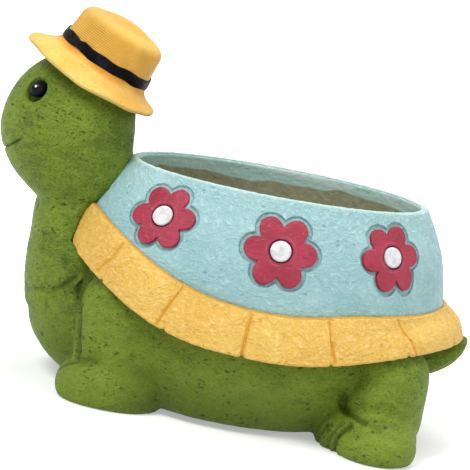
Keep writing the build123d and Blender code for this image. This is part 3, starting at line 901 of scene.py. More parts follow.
def petal_paint(coat):
    """Deep pink, brushed thinly enough for streaks, with a dark wash and painted shade round the centre and a
    painted highlight just outside that.
    """
    material, nodes, shader, place = paint("petal pink", coat.roughness)
    cloud = use(nodes, "rubbed paint", Place=place, Cloud=70.0, Grain=420.0)
    streak = nodes.noise(nodes.scaled(place, (1.0, 1.0, 2.4)), 330.0, 4.0, 0.7)
    thin_places = nodes.ramp(nodes.noise(place, 55.0, 1.0), 0.4, 0.62)
    paler = nodes.math("MULTIPLY", nodes.ramp(streak, 0.56, 0.74), thin_places)
    fleck = nodes.ramp(nodes.noise(place, 900.0, 3.0, 0.7), 0.6, 0.72)
    flecked_places = nodes.ramp(nodes.noise(place, 42.0, 1.0), 0.42, 0.6)
    wash = stored(nodes, "wash")
    broken = nodes.ramp(nodes.noise(place, 160.0, 2.0), 0.4, 0.6, 0.0, 0.45)
    colour = nodes.mix(cloud["Broad"], (*coat.dark, 1), (*coat.light, 1))
    colour = nodes.over(colour, paler, coat.ridge, 0.75)
    colour = nodes.over(colour, nodes.ramp(streak, 0.44, 0.26), coat.deep, 0.6)
    colour = nodes.over(colour, nodes.math("MULTIPLY", fleck, flecked_places), coat.ridge, 0.7)
    # Dark wash with painted shade round the centre, and a broken painted highlight just outside it
    colour = nodes.over(colour, nodes.ramp(wash, 0.0, 0.9), coat.deep)
    colour = nodes.over(colour, nodes.math("MULTIPLY", nodes.ramp(wash, 0.0, -0.9), broken), coat.ridge)
    nodes.feed(shader.inputs["Base Color"], colour)
    bump(nodes, shader, streak, 0.0007)
    return material


def centre_paint(coat):
    """Chalky white with a little grey, a painted shade, in its hollows."""
    material, nodes, shader, place = paint("centre white", coat.roughness)
    cloud = use(nodes, "rubbed paint", Place=place, Cloud=260.0, Grain=800.0)
    chalk = nodes.ramp(cloud["Broad"], 0.0, 0.5)
    colour = nodes.mix(chalk, (*coat.centre_shade, 1), (*coat.centre, 1))
    # Painted shade: grey in the low places of the bump
    colour = nodes.over(colour, nodes.ramp(cloud["Fine"], 0.4, 0.0), coat.centre_shade, 0.3)
    nodes.feed(shader.inputs["Base Color"], colour)
    bump(nodes, shader, cloud["Fine"], 0.0004, 0.6)
    return material


def straw_paint(hat):
    """Straw seen in the hat's own frame: rows round and over the crown with painted shade and highlight, a
    painted highlight on its shoulder, orange painted shade at its foot, an olive edge.
    """
    material, nodes, shader, place = paint("straw", hat.roughness, 0.2)
    moved = nodes.vector("SUBTRACT", {0: place, 1: tuple(hat.place)})
    turned = {"Vector": moved, "Angle": hat.tilt, "Axis": (0.0, 1.0, 0.0)}
    own = nodes.add("ShaderNodeVectorRotate", turned, rotation_type="AXIS_ANGLE", invert=True).outputs[0]
    x, y, up = nodes.add("ShaderNodeSeparateXYZ", {"Vector": own}).outputs
    reach = nodes.math("SQRT", nodes.math("ADD", nodes.math("POWER", x, 2.0), nodes.math("POWER", y, 2.0)))
    turn = nodes.math("ARCTAN2", y, x)
    cloud = use(nodes, "rubbed paint", Place=place, Cloud=60.0, Grain=500.0)
    on_brim = stored(nodes, "brim")

    # Rows up the wall and on over the top, with painted shade in their gaps and a painted highlight on them,
    # fainter in patches and towards the back
    wall = nodes.math("MULTIPLY_ADD", up, (hat.top - hat.base) / hat.height, hat.base)
    over_top = nodes.math("MAXIMUM", nodes.math("SUBTRACT", wall, reach), 0.0)
    along = nodes.math("ADD", up, over_top)
    rows = nodes.math("SINE", nodes.math("MULTIPLY", along, 2 * math.pi / hat.braid))
    patchy = nodes.ramp(nodes.noise(place, 34.0, 2.0), 0.35, 0.65, 0.35, 1.0)
    faint = nodes.math("MULTIPLY", patchy, nodes.ramp(turn, -0.9, -2.3, 0.25, 1.0))
    gap = nodes.math("MULTIPLY", nodes.ramp(rows, 0.1, -0.9), faint)
    shine = nodes.math("MULTIPLY", nodes.ramp(rows, 0.3, 1.0), faint)
    crown = nodes.mix(cloud["Broad"], (*hat.dark, 1), (*hat.crown, 1))
    crown = nodes.over(crown, gap, hat.deep, 0.45)
    crown = nodes.over(crown, shine, hat.light, 0.35)
    # Painted highlight round the crown's shoulder
    crown = nodes.over(crown, stored(nodes, "shoulder"), hat.light, 0.7)

    # Stalks fan out over the brim
    fan = {0: nodes.math("MULTIPLY", turn, 46.0), 1: nodes.math("MULTIPLY", reach, 260.0)}
    stalk = nodes.noise(nodes.add("ShaderNodeCombineXYZ", fan).outputs[0], 1.6, 3.0, 0.6)
    foot = nodes.ramp(reach, hat.base + 0.0036, hat.base + 0.0008)
    blotch = nodes.ramp(nodes.noise(place, 70.0, 2.0), 0.3, 0.6, 0.35, 1.0)
    brim = nodes.mix(cloud["Broad"], (*hat.brim, 1), (*hat.light, 1))
    brim = nodes.over(brim, nodes.ramp(stalk, 0.46, 0.3), hat.orange, 0.4)
    brim = nodes.over(brim, nodes.ramp(cloud["Fine"], 0.5, 0.0), hat.orange, 0.3)
    # Painted shade: orange in blotches where the brim leaves the crown
    brim = nodes.over(brim, nodes.math("MULTIPLY", foot, blotch), hat.orange)
    brim = nodes.over(brim, stored(nodes, "edge"), hat.olive)

    nodes.feed(shader.inputs["Base Color"], nodes.mix(on_brim, crown, brim))
    height = nodes.math("MULTIPLY_ADD", cloud["Fine"], 0.5, nodes.math("MULTIPLY", stalk, on_brim))
    off_brim = nodes.math("SUBTRACT", 0.35, nodes.math("MULTIPLY", on_brim, 0.35))
    height = nodes.math("MULTIPLY_ADD", nodes.math("MULTIPLY", rows, faint), off_brim, height)
    bump(nodes, shader, height, 0.0006, 0.9)
    return material


def ribbon_paint(hat):
    """Black paint with a soft sheen, rubbed to blue-grey here and there."""
    material, nodes, shader, place = paint("ribbon black", 0.45, 0.06)
    cloud = use(nodes, "rubbed paint", Place=place, Cloud=90.0, Grain=500.0)
    rubbed = nodes.ramp(cloud["Broad"], 0.4, 1.0)
    nodes.feed(shader.inputs["Base Color"], nodes.mix(rubbed, (*hat.ribbon, 1), (*hat.ribbon_worn, 1)))
    nodes.feed(shader.inputs["Roughness"], nodes.ramp(cloud["Fine"], 0.0, 1.0, 0.35, 0.55))
    bump(nodes, shader, cloud["Fine"], 0.0003, 0.6)
    return material


def eye_paint(eye):
    """Black gloss with a trace of unevenness, a painted blue-grey reflection on its lower front and a small
    painted highlight, the white glint.
    """
    material, nodes, shader, place = paint("eye black", 0.3, 0.07)
    cloud = use(nodes, "rubbed paint", Place=place, Cloud=200.0, Grain=900.0)
    colour = nodes.mix(cloud["Broad"], (*eye.black, 1), (*eye.shade, 1))
    # Painted reflection: blue-grey on the eye's lower front
    colour = nodes.over(colour, stored(nodes, "sheen"), eye.sheen, 0.8)
    colour = nodes.over(colour, stored(nodes, "glint"), eye.glint)
    nodes.feed(shader.inputs["Base Color"], colour)
    bump(nodes, shader, cloud["Fine"], 0.0001, 0.15)
    return material


# Sizes and colours a user may change


def colour_property(name, description, default):
    """A colour in linear light."""
    return bpy.props.FloatVectorProperty(
        name=name, description=description, default=default, size=3, subtype="COLOR", min=0.0, max=1.0
    )


def share_property(name, description, default):
    """A share between 0 and 1."""
    return bpy.props.FloatProperty(
        name=name, description=description, default=default, min=0.0, max=1.0, subtype="FACTOR"
    )


def length_property(name, description, default):
    """A length in metres."""
    return bpy.props.FloatProperty(
        name=name, description=description, default=default, unit="LENGTH", precision=5
    )


def number_property(name, description, default):
    """A plain number."""
    return bpy.props.FloatProperty(name=name, description=description, default=default)


class SkinSettings(bpy.types.PropertyGroup):
    grain: length_property("Grain", "Size of the faces of the green casting", 0.00117)
    softness: bpy.props.IntProperty(
        name="Softness", description="Rounds of smoothing over the creases", default=6
    )
    dark: colour_property("Dark green", "Green in the darker clouds", (0.078, 0.140, 0.008))
    light: colour_property("Light green", "Green in the lighter clouds", (0.160, 0.248, 0.016))
    fresh: colour_property("Fresh green", "Cooler green patches", (0.075, 0.155, 0.012))
    yellow: colour_property("Yellow green", "Warm flecks where the paint is rubbed thin", (0.24, 0.32, 0.036))
    deep: colour_property("Deep green", "Green in the creases", (0.036, 0.066, 0.004))
    pit: colour_property("Pit green", "Dark paint in the pits", (0.026, 0.05, 0.003))
    bare: colour_property("Bare stone", "Grey-olive inside the bowl", (0.42, 0.41, 0.28))
    bare_dark: colour_property("Bare stone shade", "Darker grey inside the bowl", (0.33, 0.335, 0.215))
    roughness: share_property("Roughness", "How dull the green paint is", 0.55)
    mouth_start: bpy.props.FloatVectorProperty(
        name="Mouth",
        description="Middle of the mouth on the snout",
        default=(-0.1372, 0.0, 0.1224),
        unit="LENGTH",
    )
    mouth_reach: length_property("Mouth reach", "How far back the mouth runs along the cheeks", 0.0118)
    mouth_depth: length_property("Mouth depth", "Depth of the groove between the lips", 0.0011)
    mouth_rise: number_property("Mouth rise", "Climb of the mouth towards the cheeks", 0.9)


class ShellSettings(bpy.types.PropertyGroup):
    grain: length_property("Grain", "Size of the faces of the shell before thinning", 0.00068)
    stroke_length: number_property("Stroke length", "Strokes per metre, lengthwise", 250.0)
    stroke_width: number_property("Stroke width", "Strokes per metre, crosswise", 640.0)
    relief: length_property("Relief", "Height of the brush ridges", 0.001)
    light: colour_property("Light blue", "Blue in the lighter clouds", (0.36, 0.565, 0.575))
    dark: colour_property("Dark blue", "Blue in the darker clouds", (0.285, 0.49, 0.505))
    ridge: colour_property("Ridge blue", "Blue on the brushed ridges", (0.57, 0.77, 0.775))
    hollow: colour_property("Hollow blue", "Blue between the brushed ridges", (0.24, 0.46, 0.49))
    deep: colour_property("Deep teal", "Dark wash in grooves and pits", (0.09, 0.3, 0.31))
    line_pale: colour_property("Worn edge", "Pale worn edges", (0.70, 0.80, 0.74))
    lining: colour_property("Lining", "Teal band inside the mouth", (0.52, 0.78, 0.74))
    lining_light: colour_property("Lining streaks", "Lighter strokes in that band", (0.70, 0.88, 0.85))
    roughness: share_property("Roughness", "How dull the blue paint is", 0.45)


class RimSettings(bpy.types.PropertyGroup):
    grain: length_property("Grain", "Size of the faces of the rim before thinning", 0.0007)
    stroke_length: number_property("Stroke length", "Strokes per metre, lengthwise", 330.0)
    stroke_width: number_property("Stroke width", "Strokes per metre, crosswise", 640.0)
    relief: length_property("Relief", "Height of the brush ridges", 0.0013)
    light: colour_property("Light yellow", "Yellow in the lighter clouds", (0.79, 0.505, 0.10))
    dark: colour_property("Dark yellow", "Yellow in the darker clouds", (0.73, 0.425, 0.068))
    ridge: colour_property("Ridge yellow", "Yellow on the brushed ridges", (0.92, 0.70, 0.28))
    hollow: colour_property("Hollow yellow", "Ochre between the brushed ridges", (0.58, 0.31, 0.045))
    deep: colour_property("Orange", "Orange in grooves, in pits and along the upper edge", (0.70, 0.34, 0.03))
    line_pale: colour_property("Worn edge", "Pale worn edges", (0.97, 0.84, 0.5))
    roughness: share_property("Roughness", "How dull the yellow paint is", 0.45)


class FlowerSettings(bpy.types.PropertyGroup):
    grain: length_property("Grain", "Size of the faces of the flowers", 0.0004)
    light: colour_property("Light pink", "Pink in the lighter clouds", (0.37, 0.024, 0.058))
    dark: colour_property("Dark pink", "Pink in the darker clouds", (0.29, 0.013, 0.036))
    ridge: colour_property("Worn pink", "Pink where the brush left ridges", (0.58, 0.2, 0.26))
    deep: colour_property("Maroon", "Wash in the grooves", (0.15, 0.008, 0.03))
    centre: colour_property("White", "The round centres", (0.74, 0.735, 0.75))
    centre_shade: colour_property("White shade", "Grey in the centres' hollows", (0.60, 0.60, 0.62))
    roughness: share_property("Roughness", "How dull the flower paint is", 0.42)


class HatSettings(bpy.types.PropertyGroup):
    place: bpy.props.FloatVectorProperty(
        name="Place",
        description="Where the crown meets the brim",
        default=(-0.0907, 0.0, 0.178),
        subtype="TRANSLATION",
        unit="LENGTH",
    )
    tilt: bpy.props.FloatProperty(
        name="Tilt", description="How far the hat is tipped back", default=math.radians(23.7), subtype="ANGLE"
    )
    base: length_property("Crown radius", "Radius of the crown at the brim", 0.0273)
    top: length_property("Top radius", "Radius of the crown at its top", 0.0252)
    height: length_property("Crown height", "Height of the crown", 0.0264)
    corner: length_property("Crown corner", "Radius of the crown's rounded corner", 0.0086)
    dome: length_property("Crown dome", "How far the top is domed", 0.0016)
    braid: length_property("Braid pitch", "Height of one row of plaited straw", 0.0012)
    brim_reach: length_property("Brim radius", "Radius of the brim", 0.0406)
    brim_shift: length_property("Brim shift", "How far the brim sits towards the forehead", 0.0021)
    band: length_property("Band height", "Height of the ribbon", 0.006)
    band_start: length_property("Band start", "How far above the brim the ribbon starts", 0.0018)
    band_proud: length_property("Band proud", "Thickness of the ribbon", 0.0009)
    crown: colour_property("Crown straw", "Straw of the crown", (0.80, 0.455, 0.078))
    dark: colour_property("Dark straw", "Darker straw of the crown", (0.70, 0.375, 0.052))
    light: colour_property("Light straw", "Sunlit straw of the brim", (0.93, 0.58, 0.145))
    brim: colour_property("Brim straw", "Straw of the brim", (0.88, 0.49, 0.090))
    orange: colour_property("Orange straw", "Wash where the brim leaves the crown", (0.74, 0.31, 0.028))
    deep: colour_property("Straw shade", "Brown between the rows", (0.4, 0.17, 0.02))
    olive: colour_property("Olive edge", "Greenish edge of the brim", (0.56, 0.48, 0.14))
    ribbon: colour_property("Ribbon", "The black band", (0.001, 0.001, 0.0015))
    ribbon_worn: colour_property("Worn ribbon", "Blue-grey where the band is rubbed", (0.008, 0.008, 0.014))
    roughness: share_property("Roughness", "How dull the straw is", 0.5)


class EyeSettings(bpy.types.PropertyGroup):
    radius: length_property("Radius", "Radius of an eye", 0.0048)
    proud: length_property("Proud", "How far an eye stands out of the head", 0.0017)
    depth: length_property("Depth", "Half of the whole ball's thickness", 0.0042)
    ring: length_property("Ring", "Radius of the groove round an eye", 0.0057)
    ring_depth: length_property("Ring depth", "Depth of that groove", 0.0007)
    glint_size: length_property("Glint size", "Radius of the white glint", 0.0007)
    black: colour_property("Black", "The eye", (0.004, 0.004, 0.006))
    shade: colour_property("Soft black", "Rubbed places on the eye", (0.012, 0.012, 0.017))
    # Colour of the painted reflection on the eye's lower front
    sheen: colour_property("Sheen", "Blue-grey on the eye's lower front", (0.012, 0.012, 0.018))
    glint: colour_property("Glint", "The white dot on the eye", (0.9, 0.9, 0.9))


class PlanterSettings(bpy.types.PropertyGroup):
    skin: bpy.props.PointerProperty(type=SkinSettings, name="Green casting", description="The turtle's skin")
    shell: bpy.props.PointerProperty(type=ShellSettings, name="Shell", description="The blue shell")
    rim: bpy.props.PointerProperty(type=RimSettings, name="Rim", description="The yellow rim")
    flowers: bpy.props.PointerProperty(type=FlowerSettings, name="Flowers", description="The pink flowers")
    hat: bpy.props.PointerProperty(type=HatSettings, name="Hat", description="The straw hat")
    eyes: bpy.props.PointerProperty(type=EyeSettings, name="Eyes", description="The black eyes")


# Operators


class PLANTER_OT_effects(bpy.types.Operator):
    """Builds the shared paint effects"""

    bl_idname = "planter.effects"
    bl_label = "Paint effects"

    def execute(self, context):
        pits_group()
        mottle_group()
        strokes_group()
        return {"FINISHED"}


class PLANTER_OT_skin(bpy.types.Operator):
    """Casts the green turtle in one soft skin, carves mouth and eye sockets and parts it into its pieces"""

    bl_idname = "planter.skin"
    bl_label = "Green casting"

    def execute(self, context):
        skin = context.scene.turtle_planter.skin
        eye = context.scene.turtle_planter.eyes
        obj = cast_from("turtle_casting", *GREEN_NODES)
        add_rolls(obj)
        clay(obj, skin.grain, skin.softness)
        polish(obj, 60, lambda place: 0.091 < place.z < 0.113 and place.x > -0.112)
        sockets = [eye_frame(side)[0] for side in SIDES]
        start = Vector(skin.mouth_start)

        def at_eyes(place):
            return min((place - spot).length for spot in sockets) < eye.ring * 1.6

        def at_old_mouth(place):
            return place.x < start.x + 0.0185 and abs(place.z - start.z) < 0.0036

        polish(obj, 24, lambda place: at_eyes(place) or at_old_mouth(place))
        swell(obj, "lumps of clay", 0.028, 0.0011)
        swell(obj, "thumb marks", 0.008, 0.00035)

        def mouth_gap(place):
            back = place.x - start.x
            rise = start.z + max(0.0, back) * skin.mouth_rise
            return (place.z - rise) / math.hypot(1.0, skin.mouth_rise), back

        def at_mouth(place):
            gap, back = mouth_gap(place)
            return abs(gap) < 0.003 and back < skin.mouth_reach + 0.003

        def mouth(place):
            gap, back = mouth_gap(place)
            if abs(gap) > 0.004:
                return 0.0
            return bell(gap, 0.0, 0.00065) * fade(back, skin.mouth_reach - 0.002, skin.mouth_reach + 0.0015)

        def ring(place):
            reach = min((place - spot).length for spot in sockets)
            return bell(reach, eye.ring, 0.0009) if reach < eye.ring * 2 else 0.0

        creases, deep, darkened = press_map(obj, CREASES)
        lips = search_tree("shell", "shell_rim")[0]

        # Painted shade: darker low on the belly between the legs and low on the chest beside the front legs
        def shade(place):
            belly = 0.6 * fade(place.z, 0.006, 0.036) * fade(abs(place.x - 0.012), 0.045, 0.07)
            behind = place.x < -0.0765 and place.z > 0.019
            chest = 0.4 * fade(place.z, 0.024, 0.058) * fade(place.x, -0.0775, -0.1) if behind else 0.0
            return max(belly, chest)

        refine(obj, 1, lambda place: creases.find(place)[2] < 0.003)
        refine(obj, 3, lambda place: at_eyes(place) or at_mouth(place))
        carve(obj, lambda place: skin.mouth_depth * mouth(place) + eye.ring_depth * ring(place) + deep(place))
        carve(obj, lambda place: -0.0006 * fade(gap_to(lips, place, 0.003), 0.0006, 0.0016))
        trim_to(obj, *cad_box)
        low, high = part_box("body")
        centre_x = (low.x + high.x) / 2

        faces = [face.vertices[:] for face in obj.data.polygons]
        walls = BVHTree.FromPolygons([vertex.co for vertex in obj.data.vertices], faces)

        def inside(place, normal):
            share = ((place.x - centre_x) / BOWL_LENGTH) ** 2 + (place.y / BOWL_WIDTH) ** 2
            if share > 1.0 or not BOWL_FLOOR < place.z < BOWL_TOP:
                return 0.0
            start = place + normal * 0.0008
            away = Vector((centre_x, 0.0, max(place.z, 0.02))) - start
            return float(walls.ray_cast(start, away.normalized(), away.length)[0] is None)

        vertex_paint(obj, "inside", inside)

        # Dark wash in the mouth, the eye grooves and the creases, with painted shade in them, and painted
        # shade under the belly and on the chest
        def wash(place, normal):
            return max(mouth(place), 0.8 * ring(place), darkened(place), shade(place))

        vertex_paint(obj, "wash", wash)
        hollows(obj, 24)
        material = green_paint(skin)
        for node, piece in part_casting(obj, GREEN_NODES, ("body",)).items():
            dress(piece, "green_body" if node == "body" else "green_skin", material, node)
        return {"FINISHED"}


class PLANTER_OT_shell(bpy.types.Operator):
    """Casts the blue shell with its mouth and flower recesses"""

    bl_idname = "planter.shell"
    bl_label = "Shell"

    def execute(self, context):
        coat = context.scene.turtle_planter.shell
        obj = cast_from("shell_wall", "shell")
        clay(obj, coat.grain, 2)
        swell(obj, "hammered cast", 0.003, 0.0006)
        thin(obj, SHELL_FACES)
        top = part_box("shell")[1].z
        flowers = search_tree(*(f"{side}_{place}_flower" for side in SIDES for place in FLOWER_PLACES))[0]
        rim = search_tree("shell_rim")[0]

        def inside(place, normal):
            inwards = normal.x * (0.018 - place.x) * 0.5 - normal.y * place.y
            return float(inwards > 0.0 and normal.z < 0.6)

        # Teal wash with painted shade in the grooves round the flowers, a painted highlight right beside the
        # petals, painted shadow just above the rim, and paler on the upward-facing top of the lip
        def wash(place, normal):
            gap = gap_to(flowers, place, 0.004)
            shadow = 0.45 * fade(gap_to(rim, place, 0.005), 0.0, 0.0035)
            if gap < 0.004:
                return max(0.8 * bell(gap, 0.0013, 0.00035), shadow) - 0.25 * fade(gap, 0.0004, 0.0009)
            lip = fade(place.z, top - 0.0004, top - 0.0014) * fade(normal.z, 0.95, 0.4)
            return shadow - 0.45 * lip

        vertex_paint(obj, "inside", inside)
        vertex_paint(obj, "wash", wash)
        settle(obj, 0.0, 0.018)
        dress(obj, "blue_shell", shell_paint(coat, context.scene.turtle_planter.skin, top), "shell")
        return {"FINISHED"}


class PLANTER_OT_rim(bpy.types.Operator):
    """Casts the yellow rim with its scute grooves"""

    bl_idname = "planter.rim"
    bl_label = "Rim"

    def execute(self, context):
        coat = context.scene.turtle_planter.rim
        obj = cast_from("shell_skirt", "shell_rim")
        clay(obj, coat.grain, 3)
        shell = search_tree("shell")[0]
        carve(obj, lambda place: -0.0006 * fade(gap_to(shell, place, 0.004), 0.0008, 0.0016))
        grooves = list(scute_grooves())

        def at_groove(place):
            for middle, facing in grooves:
                away = Vector((place.x - middle.x, place.y - middle.y))
                if away.dot(facing) > -0.012 and abs(away.x * facing.y - away.y * facing.x) < 0.003:
                    return True
            return False

        def at_front_corner(place):
            return (Vector((place.x, abs(place.y), place.z)) - RIM_CORNER).length < 0.009

        fill(obj, 6, at_groove)
        polish(obj, 90, at_front_corner)
        deep, darkened = press_map(obj, SCUTES)[1:]
        carve(obj, deep)
        swell(obj, "brushed cast", 0.0035, 0.0005)
        thin(obj, RIM_FACES)

        # Orange in the grooves and along the upper edge; paler where the lower edge faces down, more so at
        # the front
        def wash(place, normal):
            top = 0.8 * fade(gap_to(shell, place, 0.005), 0.0018, 0.0034)
            paler = fade(normal.z, -0.6, -0.2) * (0.5 + 0.5 * fade(place.x, 0.11, 0.06))
            return max(darkened(place), top) - 0.6 * paler

        vertex_paint(obj, "wash", wash)
        settle(obj, -0.001, -0.021, 0.0030)
        trim_to(obj, *cad_box)
        dress(obj, "yellow_rim", rim_paint(coat), "shell_rim")
        return {"FINISHED"}


class PLANTER_OT_flowers(bpy.types.Operator):
    """Casts the six flowers and their round centres"""

    bl_idname = "planter.flowers"
    bl_label = "Flowers"

    def execute(self, context):
        coat = context.scene.turtle_planter.flowers
        pink = petal_paint(coat)
        white = centre_paint(coat)
        for side in SIDES:
            for place in FLOWER_PLACES:
                node = f"{side}_{place}_flower"
                heart = search_tree(f"{node}_centre")[0]

                # Dark wash with painted shade next to the centre, and a painted highlight ring a little
                # further out
                def ring(spot, normal):
                    gap = gap_to(heart, spot, 0.004)
                    return 0.9 * fade(gap, 0.0008, 0.0019) - 0.5 * bell(gap, 0.0028, 0.0005)

                petals = cast_from(f"{node}_petals", node)
                clay(petals, coat.grain, 3)
                swell(petals, "petal lumps", 0.004, 0.0005)
                vertex_paint(petals, "wash", ring)
                low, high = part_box(f"{node}_centre")
                middle = (low + high) / 2
                notch(petals, middle, foot_normal(middle), 0.2, 1.7 * FLOWER_PLACES.index(place))
                settle(petals, 0.0, 0.018)
                dress(petals, "pink_petals", pink, node)
                centre = cast_from(f"{node}_button", f"{node}_centre")
                clay(centre, coat.grain, 10)
                swell(centre, "button lumps", 0.003, 0.0003)
                carve(centre, lambda spot: -0.0003)
                dress(centre, "white_centre", white, f"{node}_centre")
        return {"FINISHED"}


class PLANTER_OT_hat(bpy.types.Operator):
    """Turns the straw hat: a drooping brim and a crown of plaited rows"""

    bl_idname = "planter.hat"
    bl_label = "Straw hat"

    def execute(self, context):
        hat = context.scene.turtle_planter.hat
        wall = hat.height - hat.corner
        crown = []
        row = 2 * hat.braid
        while row < wall:
            for share in (0.0, 0.3, 0.65):
                up = row + share * hat.braid
                crown.append((hat.base + (hat.top - hat.base) * up / hat.height, up))
            row += hat.braid
        wall = crown[-1][1] + 0.35 * hat.braid
        rise = hat.height - hat.dome - wall
        foot = hat.base + (hat.top - hat.base) * wall / hat.height
        for number in range(12):
            turn = math.pi / 2 * number / 12
            crown.append((foot - hat.corner * (1 - math.cos(turn)), wall + rise * math.sin(turn)))
        rest = foot - hat.corner
        for number in range(12):
            left = 1 - number / 12
            crown.append((rest * left, hat.height - hat.dome + 1.9 * hat.dome * (1 - left**2)))
        reach = hat.brim_reach - hat.base
        obj = lathe("straw_hat", (*BRIM, *crown), 192)

        def out_on_brim(place):
            return max(0.0, (math.hypot(place.x, place.y) - hat.base) / reach) if place.z < BRIM_TOP else 0.0

        vertex_paint(obj, "brim", lambda place, normal: fade(place.z, 0.0016, BRIM_TOP))
        # Painted highlight band round the crown's shoulder
        vertex_paint(obj, "shoulder", lambda place, normal: bell(place.z, hat.height - 0.0028, 0.0021))

        def edge(place, normal):
            return 0.9 * fade(normal.z, 0.15, 0.75) * fade(out_on_brim(place), 0.8, 0.55)

        vertex_paint(obj, "edge", edge)
        for vertex in obj.data.vertices:
            place = vertex.co
            turn = math.atan2(place.y, place.x)
            out = out_on_brim(place)
            droop = 0.0013 * math.cos(2 * turn)
            droop += 0.0004 * math.sin(5 * turn + 0.7) + 0.00025 * math.sin(9 * turn)
            if hat.band_start + hat.band < place.z < hat.height - hat.corner:
                faint = 0.5 - 0.5 * math.cos(turn + 0.4)
                sunk = 0.5 + 0.5 * math.cos(2 * math.pi * place.z / hat.braid)
                inwards = 1 - 0.00026 * sunk * (0.35 + 0.65 * faint) / hat.base
                place.x *= inwards
                place.y *= inwards
            place.z += out * out * (droop - 0.0012 * (0.5 - 0.5 * math.cos(turn)) ** 2)
            above = max(0.0, place.z / hat.height - 0.5)
            place.z += 0.0021 * above * (1.0 + 0.4 * place.x / hat.top)
            place.x -= hat.brim_shift * min(1.0, out * 1.6)
        swell(obj, "soft straw", 0.012, 0.0005)
        set_on_head(obj, hat)
        trim_to(obj, *cad_box)
        dress(obj, "straw", straw_paint(hat), "hat")
        return {"FINISHED"}


class PLANTER_OT_band(bpy.types.Operator):
    """Lays the black ribbon round the crown"""

    bl_idname = "planter.band"
    bl_label = "Hat band"

    def execute(self, context):
        hat = context.scene.turtle_planter.hat
        half = hat.band / 2
        slope = (hat.top - hat.base) / hat.height
        only(next(iter(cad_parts.values())))
        bpy.ops.mesh.primitive_torus_add(
            major_radius=hat.base, minor_radius=half, major_segments=192, minor_segments=20
        )
        obj = bpy.context.object
        obj.name = "hat_ribbon"
        for vertex in obj.data.vertices:
            place = vertex.co
            turn = math.atan2(place.y, place.x)
            tube = math.atan2(place.z, math.hypot(place.x, place.y) - hat.base)
            out = math.copysign(abs(math.cos(tube)) ** 0.4, math.cos(tube))
            up = math.copysign(abs(math.sin(tube)) ** 0.6, math.sin(tube))
            wave = 0.00032 * math.sin(5 * turn + 0.4) + 0.0002 * math.sin(11 * turn)
            notch = 0.0011 * bell(turn, -2.25, 0.07) * max(0.0, up)
            tall = half * (1 + 0.06 * math.sin(7 * turn + 1.0))
            height = hat.band_start + half + wave + up * tall - notch
            radius = hat.base + slope * height + (hat.band_proud + 0.0002) * out
            place.xyz = (radius * math.cos(turn), radius * math.sin(turn), height)
        swell(obj, "soft ribbon", 0.006, 0.0004)
        only(obj)
        bpy.ops.object.shade_smooth()
        set_on_head(obj, hat)
        dress(obj, "black_ribbon", ribbon_paint(hat), "hat_band")
        return {"FINISHED"}


class PLANTER_OT_eyes(bpy.types.Operator):
    """Shapes the two glossy black eyes"""

    bl_idname = "planter.eyes"
    bl_label = "Eyes"

    def execute(self, context):
        eye = context.scene.turtle_planter.eyes
        material = eye_paint(eye)
        for side in SIDES:
            node = f"{side}_eye"
            spot, turn = eye_frame(side)
            front = -1.0 if side == "left" else 1.0
            only(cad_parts[node])
            bpy.ops.mesh.primitive_uv_sphere_add(segments=64, ring_count=48, radius=1.0)
            obj = bpy.context.object
            obj.name = f"{side}_eye_ball"
            glint = Vector((-0.0009 * front, 0.0003))
            for vertex in obj.data.vertices:
                x, y, z = vertex.co
                radius = eye.radius * (1 + 0.02 * math.sin(3 * math.atan2(y, x) + 0.6))
                vertex.co = ((x * 0.96 - y * 0.12 * front) * radius, y * radius, z * eye.depth)

            def at_glint(place, normal):
                return fade((Vector(place.xy) - glint).length, eye.glint_size * 0.7, eye.glint_size * 1.25)

            # Painted reflection, strongest on the eye's lower front
            def at_painted_reflection(place, normal):
                return fade(place.x * front * 0.8 - place.y * 0.6, 0.0042, 0.0)

            vertex_paint(obj, "glint", at_glint)
            vertex_paint(obj, "sheen", at_painted_reflection)
            sunk = Matrix.Translation((0, 0, eye.proud - eye.depth))
            obj.data.transform(Matrix.Translation(spot) @ turn @ sunk)
            only(obj)
            bpy.ops.object.shade_smooth()
            dress(obj, "black_eye", material, node)
        return {"FINISHED"}


